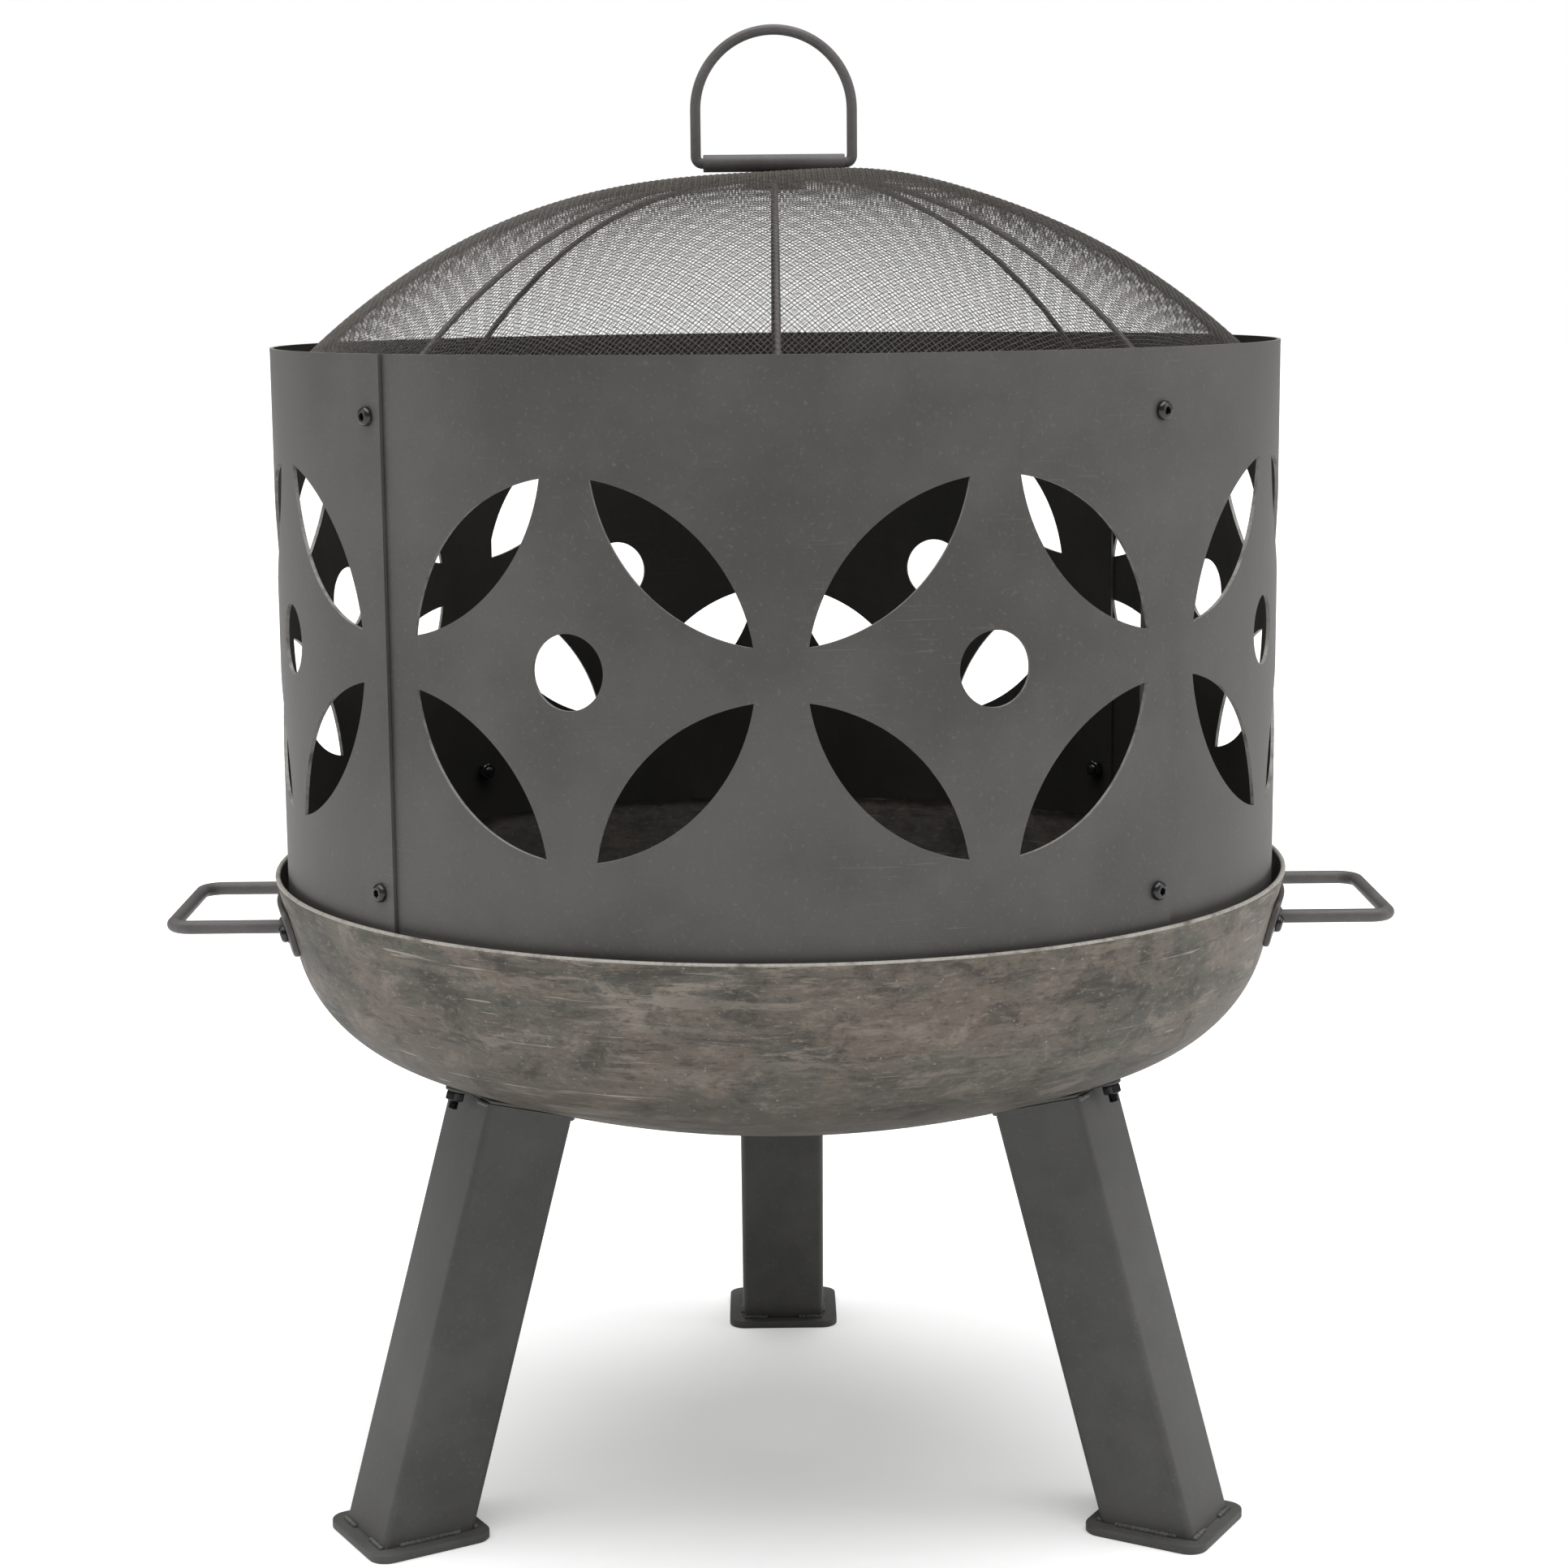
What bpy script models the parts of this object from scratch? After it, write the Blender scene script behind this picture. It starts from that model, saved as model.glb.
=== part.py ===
"""Fire pit: cast bowl on three splayed legs, lift-off heat ring, spark screen and log grate.

Units are metres, +Z is up.  The origin lies on the ground under the centre of the bowl.
The side handles lie along X, one leg points along +Y.
"""

import math

import bmesh
import bpy
from mathutils import Matrix, Vector

# ---------------------------------------------------------------- general clearances
TOUCH_GAP = 0.0003           # left between two pieces that touch
BORE_CLEARANCE = 0.0003      # radial, round a fastener or the lid handle's rod
SEAT_CLEARANCE = 0.0005      # between the heat ring's foot and the bowl wall

# ---------------------------------------------------------------- bowl
BOWL_RADIUS = 0.3005         # outer, at the rim
BOWL_DEPTH = 0.1514          # rim to lowest point, outside
BOWL_WALL = 0.0028
BOWL_DRAFT = math.radians(14.7)
BOWL_CORNER_RADIUS = 0.079   # outer
BOWL_FLOOR_RADIUS = 0.603    # outer, of the dished floor
RIM_HEIGHT = 0.374           # above the ground
FACETS = 60                  # round the bowl, a multiple of 12
FLOOR_STEPS = 5              # faceted bands of the floor and of the corner

# ---------------------------------------------------------------- legs
LEG_COUNT = 3
LEG_FIRST_AZIMUTH = math.radians(90.0)
LEG_SPLAY = math.radians(16.3)
LEG_TUBE = 0.0553            # across the flats
LEG_TUBE_WALL = 0.003
LEG_TUBE_CORNER = 0.004
LEG_MOUNT_OFFSET = 0.0123    # leg axis outside the point where the floor is square to the leg
FOOT_PLATE_SIZE = 0.074
FOOT_PLATE_THICKNESS = 0.005
FOOT_PLATE_CORNER = 0.011
TOP_PLATE_THICKNESS = 0.002
TOP_PLATE_CORNER = 0.004
LEG_BOLT_OFFSET = 0.0085     # bolt axis outside the tube's face
LEG_BOLT_EDGE = 0.0065       # bolt axis to the end of the top plate

# ---------------------------------------------------------------- fasteners, M6
SCREW_RADIUS = 0.003
SCREW_HEAD_RADIUS = 0.00525
SCREW_HEAD_HEIGHT = 0.0033
SCREW_SOCKET = 0.0040        # across the flats of the hexagon socket
SCREW_SOCKET_DEPTH = 0.0019
SCREW_SIDES = 12
NUT_FLATS = 0.010
NUT_THICKNESS = 0.005
THREAD_STICKOUT = 0.002      # screw end past its nut
LEG_THREAD_STICKOUT = 0.005

# ---------------------------------------------------------------- side handles
HANDLE_ROD = 0.008           # diameter
HANDLE_SPACING = 0.116       # between the two arms of one handle
HANDLE_REACH = 0.357         # centreline of the grip from the bowl's axis
HANDLE_BEND = 0.012          # centreline bend radius
HANDLE_DROP = 0.029          # arms below the rim
STRIP_THICKNESS = 0.003
STRIP_HEIGHT = 0.028
STRIP_SCREW_SPACING = 0.144
STRIP_END = 0.013            # screw axis to the end of the strip

# ---------------------------------------------------------------- heat ring
RING_HEIGHT = 0.319
RING_SEAT_DEPTH = 0.0137     # foot of the ring below the rim
RING_SHEET = 0.002
RING_PANELS = 4
RING_OVERLAP = 0.022         # length of sheet under the next panel
RING_STEP = math.radians(6.0)
RING_SCREW_EDGE = 0.011      # screw axis to the free end of the upper sheet
RING_SCREW_INSET = 0.0325    # from the ring's top and bottom edges
MOTIF_AZIMUTH = math.radians(21.83)
MOTIF_GAP = 0.028            # between the points of the two motifs on a panel
PETAL_GAP = 0.028            # between the points of neighbouring petals
PETAL_WIDTH = 0.0388
PETAL_STEPS = 5
EYE_DIAMETER = 0.0396
EYE_SIDES = 12

# ---------------------------------------------------------------- spark screen
HOOP_ROD = 0.006
HOOP_RING_CLEARANCE = 0.0024
SCREEN_RISE = 0.1204         # hoop centre to the top of the wire cloth
SCREEN_CLOTH = 0.001
SCREEN_FULLNESS = 2.45
SCREEN_SHOULDER = 0.97
SCREEN_FACETS = 40
SCREEN_STEPS = 8
RIB_COUNT = 8
RIB_ROD = 0.0034
RIB_START = 0.013
BOSS_RADIUS = 0.018
BOSS_THICKNESS = 0.007

# ---------------------------------------------------------------- lid handle
LID_ROD = 0.006
LID_HALF_WIDTH = 0.0453      # centreline
LID_STRAIGHT = 0.0302        # hinge axis to the centre of the top bend
LID_END_GAP = 0.0003         # sleeve's end to the start of the bend
SLEEVE_LENGTH = 0.082
SLEEVE_WALL = 0.0017
SLEEVE_LIFT = 0.0014         # sleeve above the wire cloth
STUD_RADIUS = 0.003

# ---------------------------------------------------------------- log grate
GRATE_RADIUS = 0.195
GRATE_HOOP_ROD = 0.010
GRATE_BAR_ROD = 0.008
GRATE_BARS = 9
GRATE_BAR_PITCH = 0.040
GRATE_CROSS_DROP = 0.0045
GRATE_CROSS_OFFSET = 0.095

# ---------------------------------------------------------------- derived sizes: bowl
FLOOR_LEVEL = RIM_HEIGHT - BOWL_DEPTH
SPHERE_Z = FLOOR_LEVEL + BOWL_FLOOR_RADIUS
BORE_RADIUS = SCREW_RADIUS + BORE_CLEARANCE
FACET_ANGLE = 2.0 * math.pi / FACETS


def corner_centre():
    """Centre (radius, height) of the bowl's corner arc, tangent to wall and floor."""
    start_r = BOWL_RADIUS - BOWL_CORNER_RADIUS * math.cos(BOWL_DRAFT)
    start_z = RIM_HEIGHT + BOWL_CORNER_RADIUS * math.sin(BOWL_DRAFT)
    run_r = -math.sin(BOWL_DRAFT)
    run_z = -math.cos(BOWL_DRAFT)
    rel_z = start_z - SPHERE_Z
    half_b = start_r * run_r + rel_z * run_z
    reach = BOWL_FLOOR_RADIUS - BOWL_CORNER_RADIUS
    rest = start_r ** 2 + rel_z ** 2 - reach ** 2
    travel = -half_b + math.sqrt(half_b ** 2 - rest)
    return start_r + travel * run_r, start_z + travel * run_z


CORNER_R, CORNER_Z = corner_centre()
FLOOR_EDGE_ANGLE = math.atan2(SPHERE_Z - CORNER_Z, CORNER_R)
FLOOR_EDGE_RADIUS = BOWL_FLOOR_RADIUS * math.cos(FLOOR_EDGE_ANGLE)
FLOOR_BAND_ANGLE = (math.pi / 2.0 - FLOOR_EDGE_ANGLE) / FLOOR_STEPS
FLOOR_SAG = (BOWL_FLOOR_RADIUS * (1.0 - math.cos(FLOOR_BAND_ANGLE / 2.0))
             + FLOOR_EDGE_RADIUS * (1.0 - math.cos(FACET_ANGLE / 2.0)) * math.cos(FLOOR_EDGE_ANGLE))


def wall_radius(height):
    """Outer radius of the bowl's straight wall at a height."""
    return BOWL_RADIUS - (RIM_HEIGHT - height) * math.tan(BOWL_DRAFT)


def corner_bend(height, spread):
    """Depth that the bowl's inner face bends in from its straight wall, at a spread below a height."""
    start = CORNER_Z - BOWL_CORNER_RADIUS * math.sin(BOWL_DRAFT)
    travel = (start - height) / math.cos(BOWL_DRAFT) + spread
    if travel <= 0.0:
        return 0.0
    radius = BOWL_CORNER_RADIUS - BOWL_WALL
    step = (FLOOR_EDGE_ANGLE - BOWL_DRAFT) / FLOOR_STEPS
    return 2.0 * radius - radius * math.cos(step / 2.0) - math.sqrt(radius ** 2 - travel ** 2)


def bowl_profile(inset):
    """Half section from rim to axis, moved inward by inset, as (radius, height)."""
    points = [(BOWL_RADIUS - inset / math.cos(BOWL_DRAFT), RIM_HEIGHT)]
    corner = BOWL_CORNER_RADIUS - inset
    for step in range(FLOOR_STEPS + 1):
        angle = -BOWL_DRAFT + (BOWL_DRAFT - FLOOR_EDGE_ANGLE) * step / FLOOR_STEPS
        points.append((CORNER_R + corner * math.cos(angle), CORNER_Z + corner * math.sin(angle)))
    floor = BOWL_FLOOR_RADIUS - inset
    for step in range(1, FLOOR_STEPS + 1):
        angle = -FLOOR_EDGE_ANGLE - FLOOR_BAND_ANGLE * step
        points.append((max(0.0, floor * math.cos(angle)), SPHERE_Z + floor * math.sin(angle)))
    return points


def floor_lift(distance, inset):
    """Height of the floor surface over its tangent plane, at a distance from the tangent point."""
    radius = BOWL_FLOOR_RADIUS - inset
    return BOWL_FLOOR_RADIUS + TOUCH_GAP - math.sqrt(radius ** 2 - distance ** 2)


# ---------------------------------------------------------------- derived sizes: legs
LEG_DOWN = Vector((math.sin(LEG_SPLAY), 0.0, -math.cos(LEG_SPLAY)))
LEG_OUT = Vector((math.cos(LEG_SPLAY), 0.0, math.sin(LEG_SPLAY)))
TANGENT_POINT = Vector((0.0, 0.0, SPHERE_Z)) + LEG_DOWN * (BOWL_FLOOR_RADIUS + TOUCH_GAP)
LEG_TOP = TANGENT_POINT + LEG_OUT * LEG_MOUNT_OFFSET
FOOT_TOP = FOOT_PLATE_THICKNESS + TOUCH_GAP
FOOT_RADIUS = LEG_TOP.x + (LEG_TOP.z - FOOT_TOP) * math.tan(LEG_SPLAY)
LEG_BOLT_RUN = LEG_TUBE / 2.0 + LEG_BOLT_OFFSET

# ---------------------------------------------------------------- derived sizes: heat ring
RING_FOOT = RIM_HEIGHT - RING_SEAT_DEPTH
RING_TOP = RING_FOOT + RING_HEIGHT
RING_FOOT_BEND = corner_bend(RING_FOOT, BOWL_WALL * math.tan(BOWL_DRAFT))
RING_OUTER = wall_radius(RING_FOOT) - (BOWL_WALL + RING_FOOT_BEND) / math.cos(BOWL_DRAFT) - SEAT_CLEARANCE
RING_PITCH = 2.0 * math.pi / RING_PANELS
RING_GROWTH = RING_SHEET + TOUCH_GAP
RING_SPAN = RING_PITCH + RING_OVERLAP / RING_OUTER
RING_SCREW_ANGLE = RING_PITCH / 2.0 - RING_SCREW_EDGE / RING_OUTER
SCREW_HEIGHTS = (RING_FOOT + RING_SCREW_INSET, RING_TOP - RING_SCREW_INSET)
PANEL_AZIMUTHS = tuple(-math.pi / 2.0 + RING_PITCH * index for index in range(RING_PANELS))


def sheet_radius(angle):
    """Outer radius of a panel at an angle from its centre: it grows towards the free end."""
    return RING_OUTER - RING_GROWTH * (RING_PITCH / 2.0 - angle) / RING_PITCH


RING_INNER = sheet_radius(RING_PITCH / 2.0 - RING_SPAN) - RING_SHEET

# ---------------------------------------------------------------- derived sizes: screen
HOOP_RADIUS = RING_INNER - HOOP_RING_CLEARANCE - HOOP_ROD / 2.0
HOOP_HEIGHT = SCREW_HEIGHTS[1] + NUT_FLATS / 2.0 + TOUCH_GAP + HOOP_ROD / 2.0
CLOTH_RADIUS = HOOP_RADIUS + HOOP_ROD / 2.0 + TOUCH_GAP + SCREEN_CLOTH
CLOTH_SKIRT = HOOP_ROD / 2.0 + TOUCH_GAP
HINGE_HEIGHT = HOOP_HEIGHT + SCREEN_RISE + SLEEVE_LIFT + LID_ROD / 2.0 + BORE_CLEARANCE + SLEEVE_WALL
SLEEVE_RADIUS = LID_ROD / 2.0 + BORE_CLEARANCE + SLEEVE_WALL
LID_BEND = LID_HALF_WIDTH - SLEEVE_LENGTH / 2.0 - LID_END_GAP


def cloth_height(radius):
    """Height of the wire cloth's outer face over the hoop's centre."""
    share = min(1.0, radius / CLOTH_RADIUS)
    dome = (1.0 - share ** SCREEN_FULLNESS) ** SCREEN_SHOULDER
    return CLOTH_SKIRT + (SCREEN_RISE - CLOTH_SKIRT) * dome


def cloth_point(share, inset):
    """Point (radius, height) of the cloth's section, moved inward along its normal."""
    radius = CLOTH_RADIUS * share
    height = cloth_height(radius)
    delta = 0.0005
    low = max(0.0, radius - delta)
    high = min(CLOTH_RADIUS, radius + delta)
    run = Vector((high - low, cloth_height(high) - cloth_height(low))).normalized()
    return radius + run.y * inset, height - run.x * inset


CLOTH_HOLE = (STUD_RADIUS + BORE_CLEARANCE) / CLOTH_RADIUS
CLOTH_SHARES = [CLOTH_HOLE + (1.0 - CLOTH_HOLE) * math.sin(math.pi / 2.0 * step / SCREEN_STEPS)
                for step in range(SCREEN_STEPS + 1)]

# ---------------------------------------------------------------- derived sizes: grate
GRATE_FALL = BOWL_FLOOR_RADIUS - BOWL_WALL - GRATE_HOOP_ROD / 2.0 - 2.0 * TOUCH_GAP - FLOOR_SAG
GRATE_HEIGHT = SPHERE_Z - math.sqrt(GRATE_FALL ** 2 - GRATE_RADIUS ** 2)


# ---------------------------------------------------------------- scene helpers
def clear_scene():
    """Remove every object of the scene."""
    for item in list(bpy.data.objects):
        bpy.data.objects.remove(item, do_unlink=True)


def make_material(name, colour, roughness, metallic):
    """Make a plain material for one part."""
    material = bpy.data.materials.new(name)
    material.use_nodes = True
    shader = material.node_tree.nodes["Principled BSDF"]
    shader.inputs["Base Color"].default_value = (*colour, 1.0)
    shader.inputs["Roughness"].default_value = roughness
    shader.inputs["Metallic"].default_value = metallic
    return material


def link(item):
    """Put an object into the scene."""
    bpy.context.scene.collection.objects.link(item)
    return item


def make_frame(name, location, parent=None):
    """Make an empty that carries the pieces of one body."""
    frame = bpy.data.objects.new(name, None)
    frame.empty_display_size = 0.05
    frame.location = location
    frame.parent = parent
    return link(frame)


def mesh_from(name, edit, material, smooth_angle=35.0):
    """Turn an edit mesh into a finished mesh with faces pointing out."""
    bmesh.ops.recalc_face_normals(edit, faces=edit.faces)
    mesh = bpy.data.meshes.new(name)
    edit.to_mesh(mesh)
    edit.free()
    mesh.materials.append(material)
    mesh.shade_smooth()
    mesh.set_sharp_from_angle(angle=math.radians(smooth_angle))
    return mesh


def place(name, mesh, parent, matrix=None):
    """Make an object of a mesh, at a matrix given in its parent's frame."""
    item = link(bpy.data.objects.new(name, mesh))
    item.parent = parent
    if matrix is not None:
        item.matrix_basis = matrix
    return item


def cutter(name, edit):
    """Make an object that only cuts others."""
    bmesh.ops.recalc_face_normals(edit, faces=edit.faces)
    mesh = bpy.data.meshes.new(name)
    edit.to_mesh(mesh)
    edit.free()
    item = link(bpy.data.objects.new(name, mesh))
    item.hide_render = True
    item.display_type = "WIRE"
    return item


def boolean(item, tool, operation):
    """Cut or join an object with another by a Boolean modifier."""
    modifier = item.modifiers.new(operation.title(), "BOOLEAN")
    modifier.operation = operation
    modifier.solver = "EXACT"
    modifier.object = tool
    return modifier


def ring_of(edit, points):
    """Add a loop of vertices."""
    return [edit.verts.new(point) for point in points]


def bridge(edit, first, second):
    """Join two equal loops with quads."""
    count = len(first)
    for index in range(count):
        after = (index + 1) % count
        edit.faces.new((first[index], first[after], second[after], second[index]))


def circle_points(radius, height, count, phase=0.0):
    """Points of a circle about the Z axis."""
    points = []
    for index in range(count):
        angle = phase + 2.0 * math.pi * index / count
        points.append(Vector((radius * math.cos(angle), radius * math.sin(angle), height)))
    return points


def hexagon_points(flats, height, count):
    """Points on a hexagon about the Z axis, as many as a circle's."""
    points = []
    for index in range(count):
        angle = 2.0 * math.pi * index / count
        local = math.fmod(angle, math.pi / 3.0) - math.pi / 6.0
        radius = flats / 2.0 / math.cos(local)
        points.append(Vector((radius * math.cos(angle), radius * math.sin(angle), height)))
    return points


def turned(profile, count):
    """Turn a closed section (radius, height), which may touch the axis, about Z."""
    edit = bmesh.new()
    loops = []
    for radius, height in profile:
        if radius < 1e-6:
            loops.append([edit.verts.new((0.0, 0.0, height))])
        else:
            loops.append(ring_of(edit, circle_points(radius, height, count)))
    pairs = list(zip(loops, loops[1:] + loops[:1]))
    for first, second in pairs:
        if len(first) == 1 and len(second) == 1:
            continue
        if len(first) == 1 or len(second) == 1:
            tip = first[0] if len(first) == 1 else second[0]
            rim = second if len(first) == 1 else first
            for index in range(count):
                edit.faces.new((tip, rim[index], rim[(index + 1) % count]))
        else:
            bridge(edit, first, second)
    return edit


def rod(edit, path, radius, sides, closed=False):
    """Sweep a round rod along a path that lies in one plane."""
    count = len(path)
    normal = Vector((0.0, 0.0, 0.0))
    for index in range(1, count - 1):
        normal = (path[index] - path[0]).cross(path[index + 1] - path[0])
        if normal.length > 1e-9:
            break
    if normal.length < 1e-9:
        normal = (path[-1] - path[0]).orthogonal()
    normal.normalize()
    loops = []
    for index, point in enumerate(path):
        before = path[index - 1] if index > 0 or closed else point
        after = path[(index + 1) % count] if index < count - 1 or closed else point
        back = (point - before).normalized() if before is not point else Vector()
        ahead = (after - point).normalized() if after is not point else Vector()
        along = (back + ahead).normalized()
        side = normal.cross(along)
        stretch = 1.0
        if back.length > 0.5 and ahead.length > 0.5:
            stretch = 1.0 / max(0.5, back.dot(along))
        loop = []
        for step in range(sides):
            angle = 2.0 * math.pi * step / sides
            offset = side * (radius * math.cos(angle) * stretch) + normal * (radius * math.sin(angle))
            loop.append(edit.verts.new(point + offset))
        loops.append(loop)
    for first, second in zip(loops, loops[1:]):
        bridge(edit, first, second)
    if closed:
        bridge(edit, loops[-1], loops[0])
    else:
        edit.faces.new(loops[0])
        edit.faces.new(loops[-1])


def rounded_square(size_x, size_y, corner, steps):
    """Outline of a rectangle with round corners, in the XY plane."""
    points = []
    for quarter in range(4):
        sign_x = 1.0 if quarter in (0, 3) else -1.0
        sign_y = 1.0 if quarter in (0, 1) else -1.0
        for step in range(steps + 1):
            angle = math.pi / 2.0 * (quarter + step / steps)
            points.append(Vector((sign_x * (size_x / 2.0 - corner) + corner * math.cos(angle),
                                  sign_y * (size_y / 2.0 - corner) + corner * math.sin(angle), 0.0)))
    return points


def drill(edit, matrix, radius, low, high, sides):
    """Add a closed cylinder along the Z axis of a matrix, for cutting a hole."""
    bottom = ring_of(edit, [matrix @ point for point in circle_points(radius, low, sides)])
    top = ring_of(edit, [matrix @ point for point in circle_points(radius, high, sides)])
    bridge(edit, bottom, top)
    edit.faces.new(bottom)
    edit.faces.new(top)


def frame_matrix(origin, axis, guide):
    """Matrix at an origin whose Z axis is an axis and whose X axis lies near a guide."""
    z_axis = axis.normalized()
    x_axis = (guide - z_axis * guide.dot(z_axis)).normalized()
    y_axis = z_axis.cross(x_axis)
    matrix = Matrix((x_axis, y_axis, z_axis)).transposed().to_4x4()
    matrix.translation = origin
    return matrix


# ---------------------------------------------------------------- materials
def make_materials():
    """Make the materials of the parts."""
    return {
        "bowl": make_material("bowl_iron", (0.165, 0.145, 0.120), 0.62, 0.55),
        "sheet": make_material("ring_sheet", (0.105, 0.100, 0.094), 0.48, 0.60),
        "leg": make_material("leg_paint", (0.085, 0.085, 0.080), 0.50, 0.40),
        "rod": make_material("rod_steel", (0.130, 0.120, 0.118), 0.42, 0.75),
        "screw": make_material("screw_black", (0.012, 0.012, 0.013), 0.25, 0.60),
        "cloth": make_material("wire_cloth", (0.200, 0.185, 0.165), 0.45, 0.80),
        "grate": make_material("grate_iron", (0.060, 0.056, 0.052), 0.70, 0.50),
    }


# ---------------------------------------------------------------- fasteners
def screw_mesh(name, grip, stickout, material):
    """Button head screw: underside of the head at the origin, shank along -Z."""
    length = grip + NUT_THICKNESS + stickout
    edit = bmesh.new()
    count = SCREW_SIDES
    tip = edit.verts.new((0.0, 0.0, -length))
    end = ring_of(edit, circle_points(SCREW_RADIUS, -length, count))
    neck = ring_of(edit, circle_points(SCREW_RADIUS, 0.0, count))
    under = ring_of(edit, circle_points(SCREW_HEAD_RADIUS, 0.0, count))
    brow = ring_of(edit, circle_points(SCREW_HEAD_RADIUS * 0.88, SCREW_HEAD_HEIGHT * 0.58, count))
    crown = ring_of(edit, circle_points(SCREW_HEAD_RADIUS * 0.54, SCREW_HEAD_HEIGHT, count))
    mouth = ring_of(edit, hexagon_points(SCREW_SOCKET, SCREW_HEAD_HEIGHT, count))
    well = ring_of(edit, hexagon_points(SCREW_SOCKET, SCREW_HEAD_HEIGHT - SCREW_SOCKET_DEPTH, count))
    floor = edit.verts.new((0.0, 0.0, SCREW_HEAD_HEIGHT - SCREW_SOCKET_DEPTH))
    for first, second in zip((end, neck, under, brow, crown, mouth),
                             (neck, under, brow, crown, mouth, well)):
        bridge(edit, first, second)
    for index in range(count):
        after = (index + 1) % count
        edit.faces.new((tip, end[after], end[index]))
        edit.faces.new((floor, well[index], well[after]))
    return mesh_from(name, edit, material)


def nut_mesh(name, material):
    """Hexagon nut: face towards the screw head at the origin, body along -Z."""
    edit = bmesh.new()
    loops = []
    bore = BORE_RADIUS / math.cos(math.pi / 6.0)
    outer = NUT_FLATS / 2.0 / math.cos(math.pi / 6.0)
    for radius, height in ((outer, 0.0), (outer, -NUT_THICKNESS), (bore, -NUT_THICKNESS), (bore, 0.0)):
        loops.append(ring_of(edit, circle_points(radius, height, 6, math.pi / 6.0)))
    for first, second in zip(loops, loops[1:] + loops[:1]):
        bridge(edit, first, second)
    return mesh_from(name, edit, material, 20.0)


# ---------------------------------------------------------------- leg bolts
def leg_turn(index):
    """Rotation of a leg's radial frame about Z."""
    return Matrix.Rotation(LEG_FIRST_AZIMUTH + 2.0 * math.pi * index / LEG_COUNT, 4, "Z")


def leg_bolt_frame(index, side):
    """Frame of a leg bolt on the top plate's upper face, Z up along the leg's axis."""
    point = LEG_TOP + LEG_OUT * (LEG_BOLT_RUN * side)
    return leg_turn(index) @ frame_matrix(point, -LEG_DOWN, LEG_OUT)


def leg_bolt_seat(side):
    """Height of a leg bolt's head over the top plate's upper face."""
    away = abs(LEG_MOUNT_OFFSET + LEG_BOLT_RUN * side) + SCREW_HEAD_RADIUS
    return floor_lift(away, BOWL_WALL) + TOUCH_GAP + FLOOR_SAG


# ---------------------------------------------------------------- handle screws
def strip_angle(distance):
    """Azimuth of a point of the handle strip at a straight distance from its middle."""
    return math.asin(distance / wall_radius(RIM_HEIGHT - HANDLE_DROP))


def handle_screw_frame(facing, side):
    """Frame of a handle screw on the strip's outer face, Z along the wall's outward normal."""
    height = RIM_HEIGHT - HANDLE_DROP
    azimuth = facing + side * strip_angle(STRIP_SCREW_SPACING / 2.0)
    radial = Vector((math.cos(azimuth), math.sin(azimuth), 0.0))
    outward = radial * math.cos(BOWL_DRAFT) - Vector((0.0, 0.0, math.sin(BOWL_DRAFT)))
    surface = radial * wall_radius(height) + Vector((0.0, 0.0, height))
    origin = surface + outward * (2.0 * TOUCH_GAP + STRIP_THICKNESS)
    return frame_matrix(origin, outward, Vector((0.0, 0.0, 1.0)))


HANDLE_SCREW_GRIP = (STRIP_THICKNESS + BOWL_WALL + 4.0 * TOUCH_GAP
                     + corner_bend(RIM_HEIGHT - HANDLE_DROP, NUT_FLATS / math.sqrt(3.0)))
FACET_SAG = BOWL_RADIUS * (1.0 - math.cos(FACET_ANGLE / 2.0))


# ---------------------------------------------------------------- bowl and its stand
def build_bowl(materials, stand):
    """Make the dished bowl with its bolt holes."""
    outer = bowl_profile(0.0)
    inner = bowl_profile(BOWL_WALL)
    edit = turned(outer + inner[::-1], FACETS)
    bowl = place("fire_bowl", mesh_from("fire_bowl", edit, materials["bowl"], 25.0), stand)
    holes = bmesh.new()
    reach = BOWL_WALL + 4.0 * STRIP_THICKNESS
    for index in range(LEG_COUNT):
        for side in (-1.0, 1.0):
            drill(holes, leg_bolt_frame(index, side), BORE_RADIUS, -reach, 2.0 * reach, SCREW_SIDES)
    for facing in (0.0, math.pi):
        for side in (-1.0, 1.0):
            drill(holes, handle_screw_frame(facing, side), BORE_RADIUS, -reach, reach, SCREW_SIDES)
    boolean(bowl, cutter("bowl_holes", holes), "DIFFERENCE")


def leg_tube_mesh(material):
    """Square tube in the frame of a leg that points along +X: top square, foot level."""
    edit = bmesh.new()
    top = LEG_TOP + LEG_DOWN * (TOP_PLATE_THICKNESS + TOUCH_GAP)
    across = Vector((0.0, 1.0, 0.0))
    ends = []
    for inset in (0.0, LEG_TUBE_WALL):
        size = LEG_TUBE - 2.0 * inset
        outline = rounded_square(size, size, LEG_TUBE_CORNER - inset, 2)
        head = []
        foot = []
        for point in outline:
            upper = top + LEG_OUT * point.x + across * point.y
            head.append(upper)
            foot.append(upper + LEG_DOWN * ((upper.z - FOOT_TOP) / -LEG_DOWN.z))
        ends.append((ring_of(edit, head), ring_of(edit, foot)))
    bridge(edit, ends[0][0], ends[0][1])
    bridge(edit, ends[1][0], ends[1][1])
    bridge(edit, ends[0][0], ends[1][0])
    bridge(edit, ends[0][1], ends[1][1])
    return mesh_from("leg_tube", edit, material, 25.0)


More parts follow.
